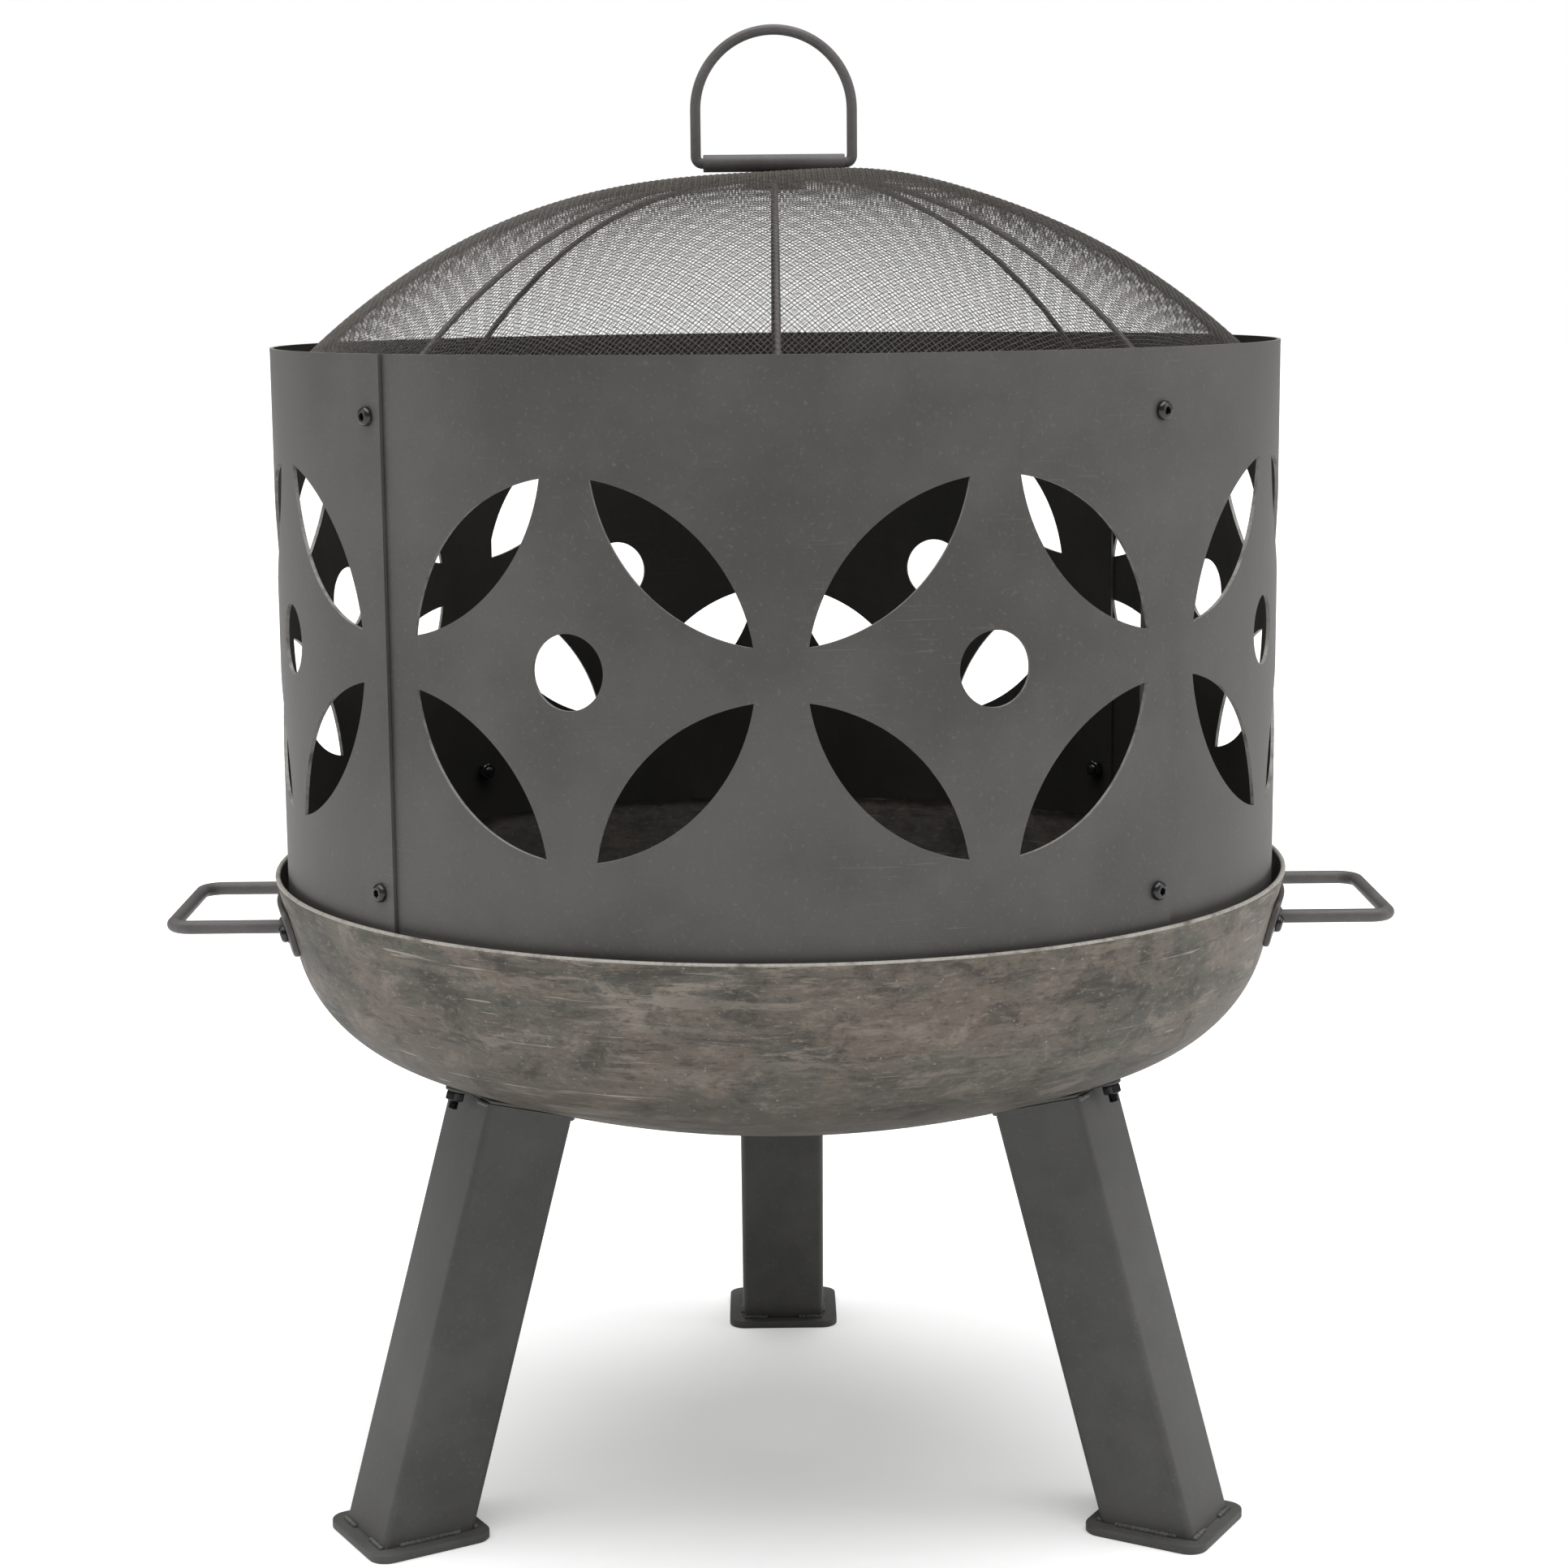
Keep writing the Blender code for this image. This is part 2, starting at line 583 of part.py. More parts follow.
def eared_outline():
    """Outline of the top plate: the tube's square with a round ear about each bolt."""
    points = []
    square = rounded_square(LEG_TUBE, LEG_TUBE, TOP_PLATE_CORNER, 4)
    for side in (1.0, -1.0):
        for step in range(9):
            angle = -math.pi / 2.0 + math.pi * step / 8.0
            points.append(Vector((side * (LEG_BOLT_RUN + LEG_BOLT_EDGE * math.cos(angle)),
                                  side * LEG_BOLT_EDGE * math.sin(angle), 0.0)))
        points.append(Vector((side * LEG_TUBE / 2.0, side * LEG_BOLT_EDGE, 0.0)))
        half = len(square) // 2
        points.extend(square[:half] if side > 0.0 else square[half:])
        points.append(Vector((-side * LEG_TUBE / 2.0, side * LEG_BOLT_EDGE, 0.0)))
    return points


def plate_mesh(name, outline, thickness, material):
    """Flat plate of an outline, its upper face at Z = 0."""
    edit = bmesh.new()
    upper = ring_of(edit, outline)
    lower = ring_of(edit, [point - Vector((0.0, 0.0, thickness)) for point in outline])
    bridge(edit, upper, lower)
    edit.faces.new(upper)
    edit.faces.new(lower)
    return mesh_from(name, edit, material, 25.0)


def build_legs(materials, stand):
    """Make the legs with their plates, bolts and nuts."""
    tube = leg_tube_mesh(materials["leg"])
    foot_outline = rounded_square(FOOT_PLATE_SIZE, FOOT_PLATE_SIZE, FOOT_PLATE_CORNER, 4)
    foot = plate_mesh("foot_plate", foot_outline, FOOT_PLATE_THICKNESS, materials["leg"])
    cap = plate_mesh("leg_top_plate", eared_outline(), TOP_PLATE_THICKNESS, materials["leg"])
    nut = nut_mesh("leg_nut", materials["screw"])
    names = ("rear", "left", "right")
    holes = bmesh.new()
    for side in (-1.0, 1.0):
        drill(holes, Matrix.Translation((LEG_BOLT_RUN * side, 0.0, 0.0)), BORE_RADIUS,
              -2.0 * TOP_PLATE_THICKNESS, TOP_PLATE_THICKNESS, SCREW_SIDES)
    plate_holes = cutter("top_plate_holes", holes)
    bolts = {}
    for side in (-1.0, 1.0):
        grip = leg_bolt_seat(side) + TOP_PLATE_THICKNESS + TOUCH_GAP
        bolts[side] = screw_mesh("leg_bolt", grip, LEG_THREAD_STICKOUT, materials["screw"])
    for index in range(LEG_COUNT):
        label = names[index]
        turn = leg_turn(index)
        place("leg_tube_" + label, tube, stand, turn)
        place("foot_plate_" + label, foot, stand,
              turn @ Matrix.Translation((FOOT_RADIUS, 0.0, FOOT_PLATE_THICKNESS)))
        cap_matrix = turn @ frame_matrix(LEG_TOP, -LEG_DOWN, LEG_OUT)
        plate = place("leg_top_plate_" + label, cap.copy(), stand, cap_matrix)
        tool = plate_holes if index == 0 else place("top_plate_holes_" + label,
                                                    plate_holes.data, None)
        tool.hide_render = True
        tool.display_type = "WIRE"
        tool.parent = stand
        tool.matrix_basis = cap_matrix
        boolean(plate, tool, "DIFFERENCE")
        for side, where in ((1.0, "outer"), (-1.0, "inner")):
            frame = leg_bolt_frame(index, side)
            place("leg_bolt_" + label + "_" + where, bolts[side], stand,
                  frame @ Matrix.Translation((0.0, 0.0, leg_bolt_seat(side))))
            place("leg_nut_" + label + "_" + where, nut, stand,
                  frame @ Matrix.Translation((0.0, 0.0, -TOP_PLATE_THICKNESS - TOUCH_GAP)))


def chord_factor(local, pitch):
    """Radius of a chord of a faceted circle over the circle's own, at an angle past its corner."""
    return math.cos(pitch / 2.0) / math.cos(local - pitch / 2.0)


def strip_mesh(material):
    """Curved strip on the bowl's wall about the +X side."""
    edit = bmesh.new()
    half = strip_angle(STRIP_SCREW_SPACING / 2.0 + STRIP_END)
    whole = int(half / FACET_ANGLE)
    angles = [-half] + [FACET_ANGLE * step for step in range(-whole, whole + 1)] + [half]
    middle = RIM_HEIGHT - HANDLE_DROP
    drop = STRIP_HEIGHT / 2.0 * math.cos(BOWL_DRAFT)
    loops = []
    for angle in angles:
        local = math.fmod(abs(angle), FACET_ANGLE)
        sag = chord_factor(local, FACET_ANGLE)
        radial = Vector((math.cos(angle), math.sin(angle), 0.0))
        loop = []
        for height, thickness in ((middle + drop, 0.0), (middle + drop, STRIP_THICKNESS),
                                  (middle - drop, STRIP_THICKNESS), (middle - drop, 0.0)):
            reach = (TOUCH_GAP + thickness) / math.cos(BOWL_DRAFT)
            point = radial * ((wall_radius(height) + reach) * sag)
            loop.append(Vector((point.x, point.y, height)))
        loops.append(ring_of(edit, loop))
    for first, second in zip(loops, loops[1:]):
        bridge(edit, first, second)
    edit.faces.new(loops[0])
    edit.faces.new(loops[-1])
    return mesh_from("handle_strip", edit, material, 25.0)


def handle_path():
    """Centreline of the +X side handle, with its arms run into the wall."""
    height = RIM_HEIGHT - HANDLE_DROP
    half = HANDLE_SPACING / 2.0
    start = BOWL_RADIUS * 0.88
    path = [Vector((start, -half, height))]
    for side in (-1.0, 1.0):
        for step in range(6):
            turn = math.pi / 2.0 * step / 5.0
            angle = -math.pi / 2.0 + turn if side < 0.0 else turn
            path.append(Vector((HANDLE_REACH - HANDLE_BEND + HANDLE_BEND * math.cos(angle),
                                side * (half - HANDLE_BEND) + HANDLE_BEND * math.sin(angle), height)))
    path.append(Vector((start, half, height)))
    return path


def build_side_handles(materials, stand):
    """Make the two carrying handles with their strips, screws and nuts."""
    strip = strip_mesh(materials["rod"])
    edit = bmesh.new()
    rod(edit, handle_path(), HANDLE_ROD / 2.0, 8)
    grip = mesh_from("side_handle", edit, materials["rod"])
    screw = screw_mesh("handle_screw", HANDLE_SCREW_GRIP + FACET_SAG, THREAD_STICKOUT, materials["screw"])
    nut = nut_mesh("handle_nut", materials["screw"])
    stand_off = (2.0 * TOUCH_GAP + STRIP_THICKNESS) / math.cos(BOWL_DRAFT)
    low = RIM_HEIGHT - HANDLE_DROP - STRIP_HEIGHT
    high = RIM_HEIGHT - HANDLE_DROP + STRIP_HEIGHT
    trim = turned([(0.0, high), (wall_radius(high) + stand_off, high),
                   (wall_radius(low) + stand_off, low), (0.0, low)], FACETS)
    trimmer = cutter("handle_trim", trim)
    trimmer.parent = stand
    holes = bmesh.new()
    for side in (-1.0, 1.0):
        drill(holes, handle_screw_frame(0.0, side), BORE_RADIUS,
              -4.0 * STRIP_THICKNESS, STRIP_THICKNESS, SCREW_SIDES)
    hole_mesh = cutter("strip_holes_right", holes)
    for label, facing in (("right", 0.0), ("left", math.pi)):
        turn = Matrix.Rotation(facing, 4, "Z")
        plate = place("handle_strip_" + label, strip.copy(), stand, turn)
        tool = hole_mesh if facing == 0.0 else place("strip_holes_left", hole_mesh.data, None, turn)
        tool.hide_render = True
        tool.display_type = "WIRE"
        boolean(plate, tool, "DIFFERENCE")
        bar = place("side_handle_" + label, grip.copy(), stand, turn)
        boolean(bar, trimmer, "DIFFERENCE")
        for side, where in ((-1.0, "a"), (1.0, "b")):
            frame = handle_screw_frame(facing, side)
            place("handle_screw_" + label + "_" + where, screw, stand, frame)
            place("handle_nut_" + label + "_" + where, nut, stand,
                  frame @ Matrix.Translation((0.0, 0.0, -HANDLE_SCREW_GRIP - FACET_SAG)))


# ---------------------------------------------------------------- heat ring
def bent(arc, height, radius):
    """Point of the ring at an arc length from a panel's middle, for a panel facing +X."""
    angle = arc / RING_OUTER
    return Vector((radius * math.cos(angle), radius * math.sin(angle), height))


def punch(edit, outline):
    """Add a cutter through the sheet from an outline of (arc, height) points."""
    margin = 6.0 * RING_SHEET
    outer = ring_of(edit, [bent(arc, height, RING_OUTER + margin) for arc, height in outline])
    inner = ring_of(edit, [bent(arc, height, RING_OUTER - margin) for arc, height in outline])
    bridge(edit, outer, inner)
    edit.faces.new(outer)
    edit.faces.new(inner)


def petal_outline(reach, sign_x, sign_z):
    """Lens between two points of a motif, as offsets from the motif's centre."""
    near = Vector((PETAL_GAP / 2.0, reach))
    far = Vector((reach, PETAL_GAP / 2.0))
    chord = far - near
    half = chord.length / 2.0
    rise = PETAL_WIDTH / 2.0
    radius = (half ** 2 + rise ** 2) / (2.0 * rise)
    sweep = math.asin(min(1.0, half / radius))
    along = chord.normalized()
    outward = Vector((-along.y, along.x))
    centre = (near + far) / 2.0
    points = []
    for flip in (1.0, -1.0):
        for step in range(PETAL_STEPS):
            angle = -sweep + 2.0 * sweep * step / PETAL_STEPS
            run = radius * math.sin(angle) * flip
            lift = (radius * math.cos(angle) - (radius - rise)) * flip
            point = centre + along * run + outward * lift
            points.append((point.x * sign_x, point.y * sign_z))
    return points


def panel_cutter():
    """Make the cutter of one panel: motifs and screw holes."""
    edit = bmesh.new()
    middle = RING_HEIGHT / 2.0
    shift = MOTIF_AZIMUTH * RING_OUTER
    reach = shift - MOTIF_GAP / 2.0
    for motif in (-1.0, 1.0):
        for sign_x in (-1.0, 1.0):
            for sign_z in (-1.0, 1.0):
                outline = petal_outline(reach, sign_x, sign_z)
                punch(edit, [(motif * shift + arc, middle + height) for arc, height in outline])
        eye = []
        for index in range(EYE_SIDES):
            angle = 2.0 * math.pi * index / EYE_SIDES
            eye.append((motif * shift + EYE_DIAMETER / 2.0 * math.cos(angle),
                        middle + EYE_DIAMETER / 2.0 * math.sin(angle)))
        punch(edit, eye)
    for angle in (RING_SCREW_ANGLE, RING_SCREW_ANGLE - RING_PITCH):
        for height in SCREW_HEIGHTS:
            radial = Vector((math.cos(angle), math.sin(angle), 0.0))
            origin = radial * RING_OUTER + Vector((0.0, 0.0, height - RING_FOOT))
            matrix = frame_matrix(origin, radial, Vector((0.0, 0.0, 1.0)))
            drill(edit, matrix, BORE_RADIUS, -6.0 * RING_SHEET, 6.0 * RING_SHEET, SCREW_SIDES)
    return cutter("panel_cut_front", edit)


def panel_mesh(material):
    """Rolled sheet of one panel, facing +X, its foot at Z = 0."""
    edit = bmesh.new()
    start = RING_PITCH / 2.0 - RING_SPAN
    whole = int(round(RING_PITCH / 2.0 / RING_STEP * 2.0))
    step = RING_PITCH / whole
    angles = [RING_PITCH / 2.0 - step * index for index in range(int(RING_SPAN / step) + 1)][::-1]
    if angles[0] - start > 0.05 * step:
        angles = [start] + angles
    loops = []
    for angle in angles:
        local = math.fmod(RING_PITCH / 2.0 - angle + 1e-9, step)
        outer = sheet_radius(angle) * chord_factor(local, step)
        loop = []
        for radius, height in ((outer, 0.0), (outer, RING_HEIGHT), (outer - RING_SHEET, RING_HEIGHT),
                               (outer - RING_SHEET, 0.0)):
            loop.append(Vector((radius * math.cos(angle), radius * math.sin(angle), height)))
        loops.append(ring_of(edit, loop))
    for first, second in zip(loops, loops[1:]):
        bridge(edit, first, second)
    edit.faces.new(loops[0])
    edit.faces.new(loops[-1])
    return mesh_from("ring_panel", edit, material, 25.0)


def build_heat_ring(materials, ring):
    """Make the four panels of the heat ring with their screws and nuts."""
    panel = panel_mesh(materials["sheet"])
    tool = panel_cutter()
    sag = RING_OUTER * (1.0 - math.cos(RING_STEP / 2.0))
    grip = 2.0 * RING_SHEET + 3.0 * TOUCH_GAP + sag
    screw = screw_mesh("ring_screw", grip, THREAD_STICKOUT, materials["screw"])
    nut = nut_mesh("ring_nut", materials["screw"])
    names = ("front", "right", "rear", "left")
    for index, facing in enumerate(PANEL_AZIMUTHS):
        label = names[index]
        turn = Matrix.Rotation(facing, 4, "Z")
        item = place("ring_panel_" + label, panel.copy(), ring, turn)
        cut = tool if index == 0 else place("panel_cut_" + label, tool.data, ring)
        cut.hide_render = True
        cut.display_type = "WIRE"
        cut.parent = ring
        cut.matrix_basis = turn
        boolean(item, cut, "DIFFERENCE")
        azimuth = facing + RING_SCREW_ANGLE
        radial = Vector((math.cos(azimuth), math.sin(azimuth), 0.0))
        outer = sheet_radius(RING_SCREW_ANGLE) + TOUCH_GAP
        for height, where in zip(SCREW_HEIGHTS, ("lower", "upper")):
            origin = radial * outer + Vector((0.0, 0.0, height - RING_FOOT))
            frame = frame_matrix(origin, radial, Vector((0.0, 0.0, 1.0)))
            place("ring_screw_" + label + "_" + where, screw, ring, frame)
            place("ring_nut_" + label + "_" + where, nut, ring,
                  frame @ Matrix.Translation((0.0, 0.0, -grip)))


# ---------------------------------------------------------------- spark screen
def build_screen(materials, screen):
    """Make the domed screen: hoop, ribs with their boss, and wire cloth."""
    edit = bmesh.new()
    rod(edit, circle_points(HOOP_RADIUS, 0.0, SCREEN_FACETS), HOOP_ROD / 2.0, 6, closed=True)
    place("screen_hoop", mesh_from("screen_hoop", edit, materials["rod"]), screen)

    outer = [cloth_point(share, 0.0) for share in CLOTH_SHARES]
    inner = [cloth_point(share, SCREEN_CLOTH) for share in CLOTH_SHARES]
    inner[0] = (outer[0][0], inner[0][1])
    inner[-1] = (CLOTH_RADIUS - SCREEN_CLOTH, outer[-1][1])
    outer.append((CLOTH_RADIUS, 0.0))
    inner.append((CLOTH_RADIUS - SCREEN_CLOTH, 0.0))
    cloth = turned(outer + inner[::-1], SCREEN_FACETS)
    place("screen_cloth", mesh_from("screen_cloth", cloth, materials["cloth"], 50.0), screen)

    depth = SCREEN_CLOTH + 2.0 * TOUCH_GAP + RIB_ROD / 2.0
    boss_top = cloth_point(BOSS_RADIUS / CLOTH_RADIUS, SCREEN_CLOTH)[1] - 2.0 * TOUCH_GAP
    boss = turned([(0.0, boss_top), (BOSS_RADIUS, boss_top),
                   (BOSS_RADIUS, boss_top - BOSS_THICKNESS), (0.0, boss_top - BOSS_THICKNESS)], 24)
    frame = place("screen_ribs", mesh_from("screen_ribs", boss, materials["rod"]), screen)
    ribs = bmesh.new()
    limit = HOOP_RADIUS - HOOP_ROD / 2.0 - RIB_ROD / 2.0 - 3.0 * TOUCH_GAP
    for index in range(RIB_COUNT):
        turn = Matrix.Rotation(2.0 * math.pi * index / RIB_COUNT, 4, "Z")
        path = []
        for share in [RIB_START / CLOTH_RADIUS] + CLOTH_SHARES[1:]:
            radius, height = cloth_point(share, depth)
            if radius > limit - RIB_ROD:
                break
            path.append(turn @ Vector((radius, 0.0, height)))
        path.append(turn @ Vector((limit, 0.0, 0.0)))
        rod(ribs, path, RIB_ROD / 2.0, 6)
    tool = cutter("rib_rods", ribs)
    tool.parent = screen
    boolean(frame, tool, "UNION")


def build_lid_handle(materials, screen):
    """Make the sleeve on its stud and the hinged handle that turns in it."""
    axis_height = HINGE_HEIGHT - HOOP_HEIGHT
    bore = LID_ROD / 2.0 + BORE_CLEARANCE
    half = SLEEVE_LENGTH / 2.0
    tube = turned([(SLEEVE_RADIUS, half), (SLEEVE_RADIUS, -half), (bore, -half), (bore, half)], 16)
    along_x = Matrix.Rotation(math.pi / 2.0, 4, "Y")
    bmesh.ops.transform(tube, matrix=along_x, verts=tube.verts)
    sleeve = place("handle_sleeve", mesh_from("handle_sleeve", tube, materials["rod"]), screen,
                   Matrix.Translation((0.0, 0.0, axis_height)))
    boss_top = cloth_point(BOSS_RADIUS / CLOTH_RADIUS, SCREEN_CLOTH)[1] - TOUCH_GAP
    stud = bmesh.new()
    stud_top = -(bore + SLEEVE_WALL / 2.0) + 0.0001
    drill(stud, Matrix.Identity(4), STUD_RADIUS - TOUCH_GAP, boss_top - axis_height, stud_top, 12)
    stud_tool = cutter("sleeve_stud", stud)
    stud_tool.parent = sleeve
    boolean(sleeve, stud_tool, "UNION")

    path = []
    for side in (-1.0, 1.0):
        for step in range(4):
            turn = math.pi / 2.0 * step / 3.0
            angle = math.pi + turn if side < 0.0 else -math.pi / 2.0 + turn
            path.append(Vector((side * (LID_HALF_WIDTH - LID_BEND) + LID_BEND * math.cos(angle), 0.0,
                                LID_BEND + LID_BEND * math.sin(angle))))
    for step in range(17):
        angle = math.pi * step / 16.0
        path.append(Vector((LID_HALF_WIDTH * math.cos(angle), 0.0,
                            LID_STRAIGHT + LID_HALF_WIDTH * math.sin(angle))))
    edit = bmesh.new()
    rod(edit, path, LID_ROD / 2.0, 8, closed=True)
    place("lid_handle", mesh_from("lid_handle", edit, materials["rod"]), screen,
          Matrix.Translation((0.0, 0.0, axis_height)))


# ---------------------------------------------------------------- log grate
def build_grate(materials, stand):
    """Make the round log grate that lies in the bowl."""
    edit = bmesh.new()
    rod(edit, circle_points(GRATE_RADIUS, 0.0, 32), GRATE_HOOP_ROD / 2.0, 6, closed=True)
    grate = place("log_grate", mesh_from("log_grate", edit, materials["grate"]), stand,
                  Matrix.Translation((0.0, 0.0, GRATE_HEIGHT)))
    bars = bmesh.new()
    for index in range(GRATE_BARS):
        offset = (index - (GRATE_BARS - 1) / 2.0) * GRATE_BAR_PITCH
        if abs(offset) > GRATE_RADIUS - GRATE_HOOP_ROD:
            continue
        half = math.sqrt(GRATE_RADIUS ** 2 - offset ** 2)
        rod(bars, [Vector((offset, -half, 0.0)), Vector((offset, half, 0.0))], GRATE_BAR_ROD / 2.0, 6)
    cross = bmesh.new()
    half = ((GRATE_BARS - 1) / 2.0 - 1.0) * GRATE_BAR_PITCH + GRATE_BAR_ROD / 2.0
    for side in (-1.0, 1.0):
        offset = side * GRATE_CROSS_OFFSET
        rod(cross, [Vector((-half, offset, -GRATE_CROSS_DROP)), Vector((half, offset, -GRATE_CROSS_DROP))],
            GRATE_BAR_ROD / 2.0, 6)
    for name, tool_edit in (("grate_bars", bars), ("grate_cross_bars", cross)):
        tool = cutter(name, tool_edit)
        tool.parent = grate
        boolean(grate, tool, "UNION")


def main():
    """Build the fire pit."""
    clear_scene()
    materials = make_materials()
    stand = make_frame("stand_frame", (0.0, 0.0, 0.0))
    ring = make_frame("heat_ring_frame", (0.0, 0.0, RING_FOOT), stand)
    screen = make_frame("spark_screen_frame", (0.0, 0.0, HOOP_HEIGHT - RING_FOOT), ring)
    build_bowl(materials, stand)
    build_legs(materials, stand)
    build_side_handles(materials, stand)
    build_heat_ring(materials, ring)
    build_screen(materials, screen)
    build_lid_handle(materials, screen)
    build_grate(materials, stand)


main()
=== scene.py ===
"""Fire pit: a dished bowl on three splayed legs, a pierced heat ring, a domed spark screen and a log grate."""
import logging
import math
from collections.abc import Callable, Sequence
from dataclasses import dataclass
from enum import Enum

import bmesh
import bpy
from mathutils import Matrix, Vector


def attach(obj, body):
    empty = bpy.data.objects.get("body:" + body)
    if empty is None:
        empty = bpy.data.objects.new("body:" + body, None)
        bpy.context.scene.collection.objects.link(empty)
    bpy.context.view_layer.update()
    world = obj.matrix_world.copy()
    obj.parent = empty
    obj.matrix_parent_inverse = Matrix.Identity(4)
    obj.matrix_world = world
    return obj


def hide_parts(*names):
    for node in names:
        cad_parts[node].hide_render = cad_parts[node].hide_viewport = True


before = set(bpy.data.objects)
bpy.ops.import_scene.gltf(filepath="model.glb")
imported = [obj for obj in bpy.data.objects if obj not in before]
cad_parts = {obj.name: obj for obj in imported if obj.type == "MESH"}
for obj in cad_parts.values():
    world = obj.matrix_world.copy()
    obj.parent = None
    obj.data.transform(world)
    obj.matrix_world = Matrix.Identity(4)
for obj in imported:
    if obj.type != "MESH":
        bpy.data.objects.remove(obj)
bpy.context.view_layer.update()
LOG = logging.getLogger("fire_pit")
Section = list[tuple[float, float]]
Colour = tuple[float, float, float]


class Body(Enum):
    """Bodies of the frame that pieces ride on."""

    STAND = "stand"
    RING = "heat_ring"
    SCREEN = "spark_screen"
    LID_HANDLE = "lid_handle"
    GRATE = "log_grate"


class Slot(Enum):
    """Material slots of the record."""

    BOWL = "bowl_iron"
    SHEET = "ring_sheet"
    LEG = "leg_paint"
    ROD = "rod_steel"
    SCREW = "screw_black"
    CLOTH = "wire_cloth"
    GRATE = "grate_iron"


class Facing(Enum):
    """Compass of the four ring panels, as the azimuth of their middle in degrees."""

    FRONT = -90.0
    RIGHT = 0.0
    REAR = 90.0
    LEFT = 180.0


# ---------------------------------------------------------------- node sheets
class NodeSheet:
    """A node tree being laid out, with short calls for nodes and links."""

    def __init__(self, tree: bpy.types.NodeTree) -> None:
        """Start on a tree."""
        self.tree = tree

    def feed(self, socket: bpy.types.NodeSocket, value: object) -> None:
        """Link a socket or node into an input, or set the input to a plain value.

        Args:
            socket: The input.
            value: A socket, a node (its first output), or a value.
        """
        if isinstance(value, bpy.types.Node):
            value = value.outputs[0]
        if isinstance(value, bpy.types.NodeSocket):
            self.tree.links.new(value, socket)
        else:
            socket.default_value = value

    def add(self, kind: str, inputs: dict | None = None, **settings: object) -> bpy.types.Node:
        """Add a node.

        Args:
            kind: The node's type name.
            inputs: Input name or index to a socket, node or value.
            settings: Properties of the node.

        Returns:
            The node.
        """
        node = self.tree.nodes.new(kind)
        for name, value in settings.items():
            setattr(node, name, value)
        for key, value in (inputs or {}).items():
            self.feed(node.inputs[key], value)
        return node

    def calc(self, operation: str, *values: object) -> bpy.types.NodeSocket:
        """Add a Math node and return its result."""
        node = self.add("ShaderNodeMath", dict(enumerate(values)), operation=operation)
        return node.outputs[0]

    def combine(self, x: object, y: object, z: object) -> bpy.types.NodeSocket:
        """Add a Combine XYZ node and return its vector."""
        return self.add("ShaderNodeCombineXYZ", {0: x, 1: y, 2: z}).outputs[0]

    def split(self, vector: object) -> tuple[bpy.types.NodeSocket, ...]:
        """Add a Separate XYZ node and return its three outputs."""
        return tuple(self.add("ShaderNodeSeparateXYZ", {0: vector}).outputs)


class Recipe(NodeSheet):
    """A Geometry Nodes tree with named inputs, which turns a base mesh into a plain mesh."""

    KINDS = {float: "NodeSocketFloat", int: "NodeSocketInt", bpy.types.Material: "NodeSocketMaterial",
             bpy.types.Object: "NodeSocketObject"}

    def __init__(self, name: str, inputs: dict[str, type]) -> None:
        """Make an empty tree.

        Args:
            name: The tree's name.
            inputs: Names of the inputs after the geometry, with their types.
        """
        group = bpy.data.node_groups.new(name, "GeometryNodeTree")
        super().__init__(group)
        face = group.interface
        face.new_socket("Geometry", in_out="INPUT", socket_type="NodeSocketGeometry")
        face.new_socket("Geometry", in_out="OUTPUT", socket_type="NodeSocketGeometry")
        self.keys = {}
        for label, kind in inputs.items():
            self.keys[label] = face.new_socket(label, in_out="INPUT", socket_type=self.KINDS[kind]).identifier
        self.source = group.nodes.new("NodeGroupInput")
        self.sink = group.nodes.new("NodeGroupOutput")

    def __getitem__(self, label: str) -> bpy.types.NodeSocket:
        """Return the group input of that name."""
        return self.source.outputs[label]

    def close(self, geometry: object, *dressing: tuple[str, object]) -> "Recipe":
        """End the tree in Realize Instances and one Set Material for each finish.

        Args:
            geometry: The last geometry.
            dressing: Pairs of a material input's name and a selection, or None for all.

        Returns:
            The recipe.
        """
        last = self.add("GeometryNodeRealizeInstances", {"Geometry": geometry})
        for label, chosen in dressing:
            last = self.add("GeometryNodeSetMaterial", {"Geometry": last, "Material": self[label]})
            if chosen is not None:
                self.feed(last.inputs["Selection"], chosen)
        self.feed(self.sink.inputs["Geometry"], last)
        return self

    def cook(self, base: bpy.types.Mesh, values: dict[str, object]) -> bpy.types.Mesh:
        """Run the tree on a base mesh.

        Args:
            base: The mesh that the tree starts from.
            values: Input name to value.

        Returns:
            The plain mesh.
        """
        item = bpy.data.objects.new("cooking", base)
        bpy.context.scene.collection.objects.link(item)
        modifier = item.modifiers.new(self.tree.name, "NODES")
        modifier.node_group = self.tree
        for label, value in values.items():
            modifier[self.keys[label]] = value
        graph = bpy.context.evaluated_depsgraph_get()
        mesh = bpy.data.meshes.new_from_object(item.evaluated_get(graph), depsgraph=graph)
        item.modifiers.remove(modifier)
        bpy.data.objects.remove(item, do_unlink=True)
        return drop_empty_slots(mesh)


# ---------------------------------------------------------------- mesh helpers
def drop_empty_slots(mesh: bpy.types.Mesh) -> bpy.types.Mesh:
    """Renumber the faces so that only filled material slots are left."""
    filled = [material for material in mesh.materials if material is not None]
    if len(filled) < len(mesh.materials):
        numbers = [filled.index(material) if material in filled else 0 for material in mesh.materials]
        indices = [numbers[face.material_index] for face in mesh.polygons]
        mesh.materials.clear()
        for material in filled:
            mesh.materials.append(material)
        mesh.polygons.foreach_set("material_index", indices)
    return mesh


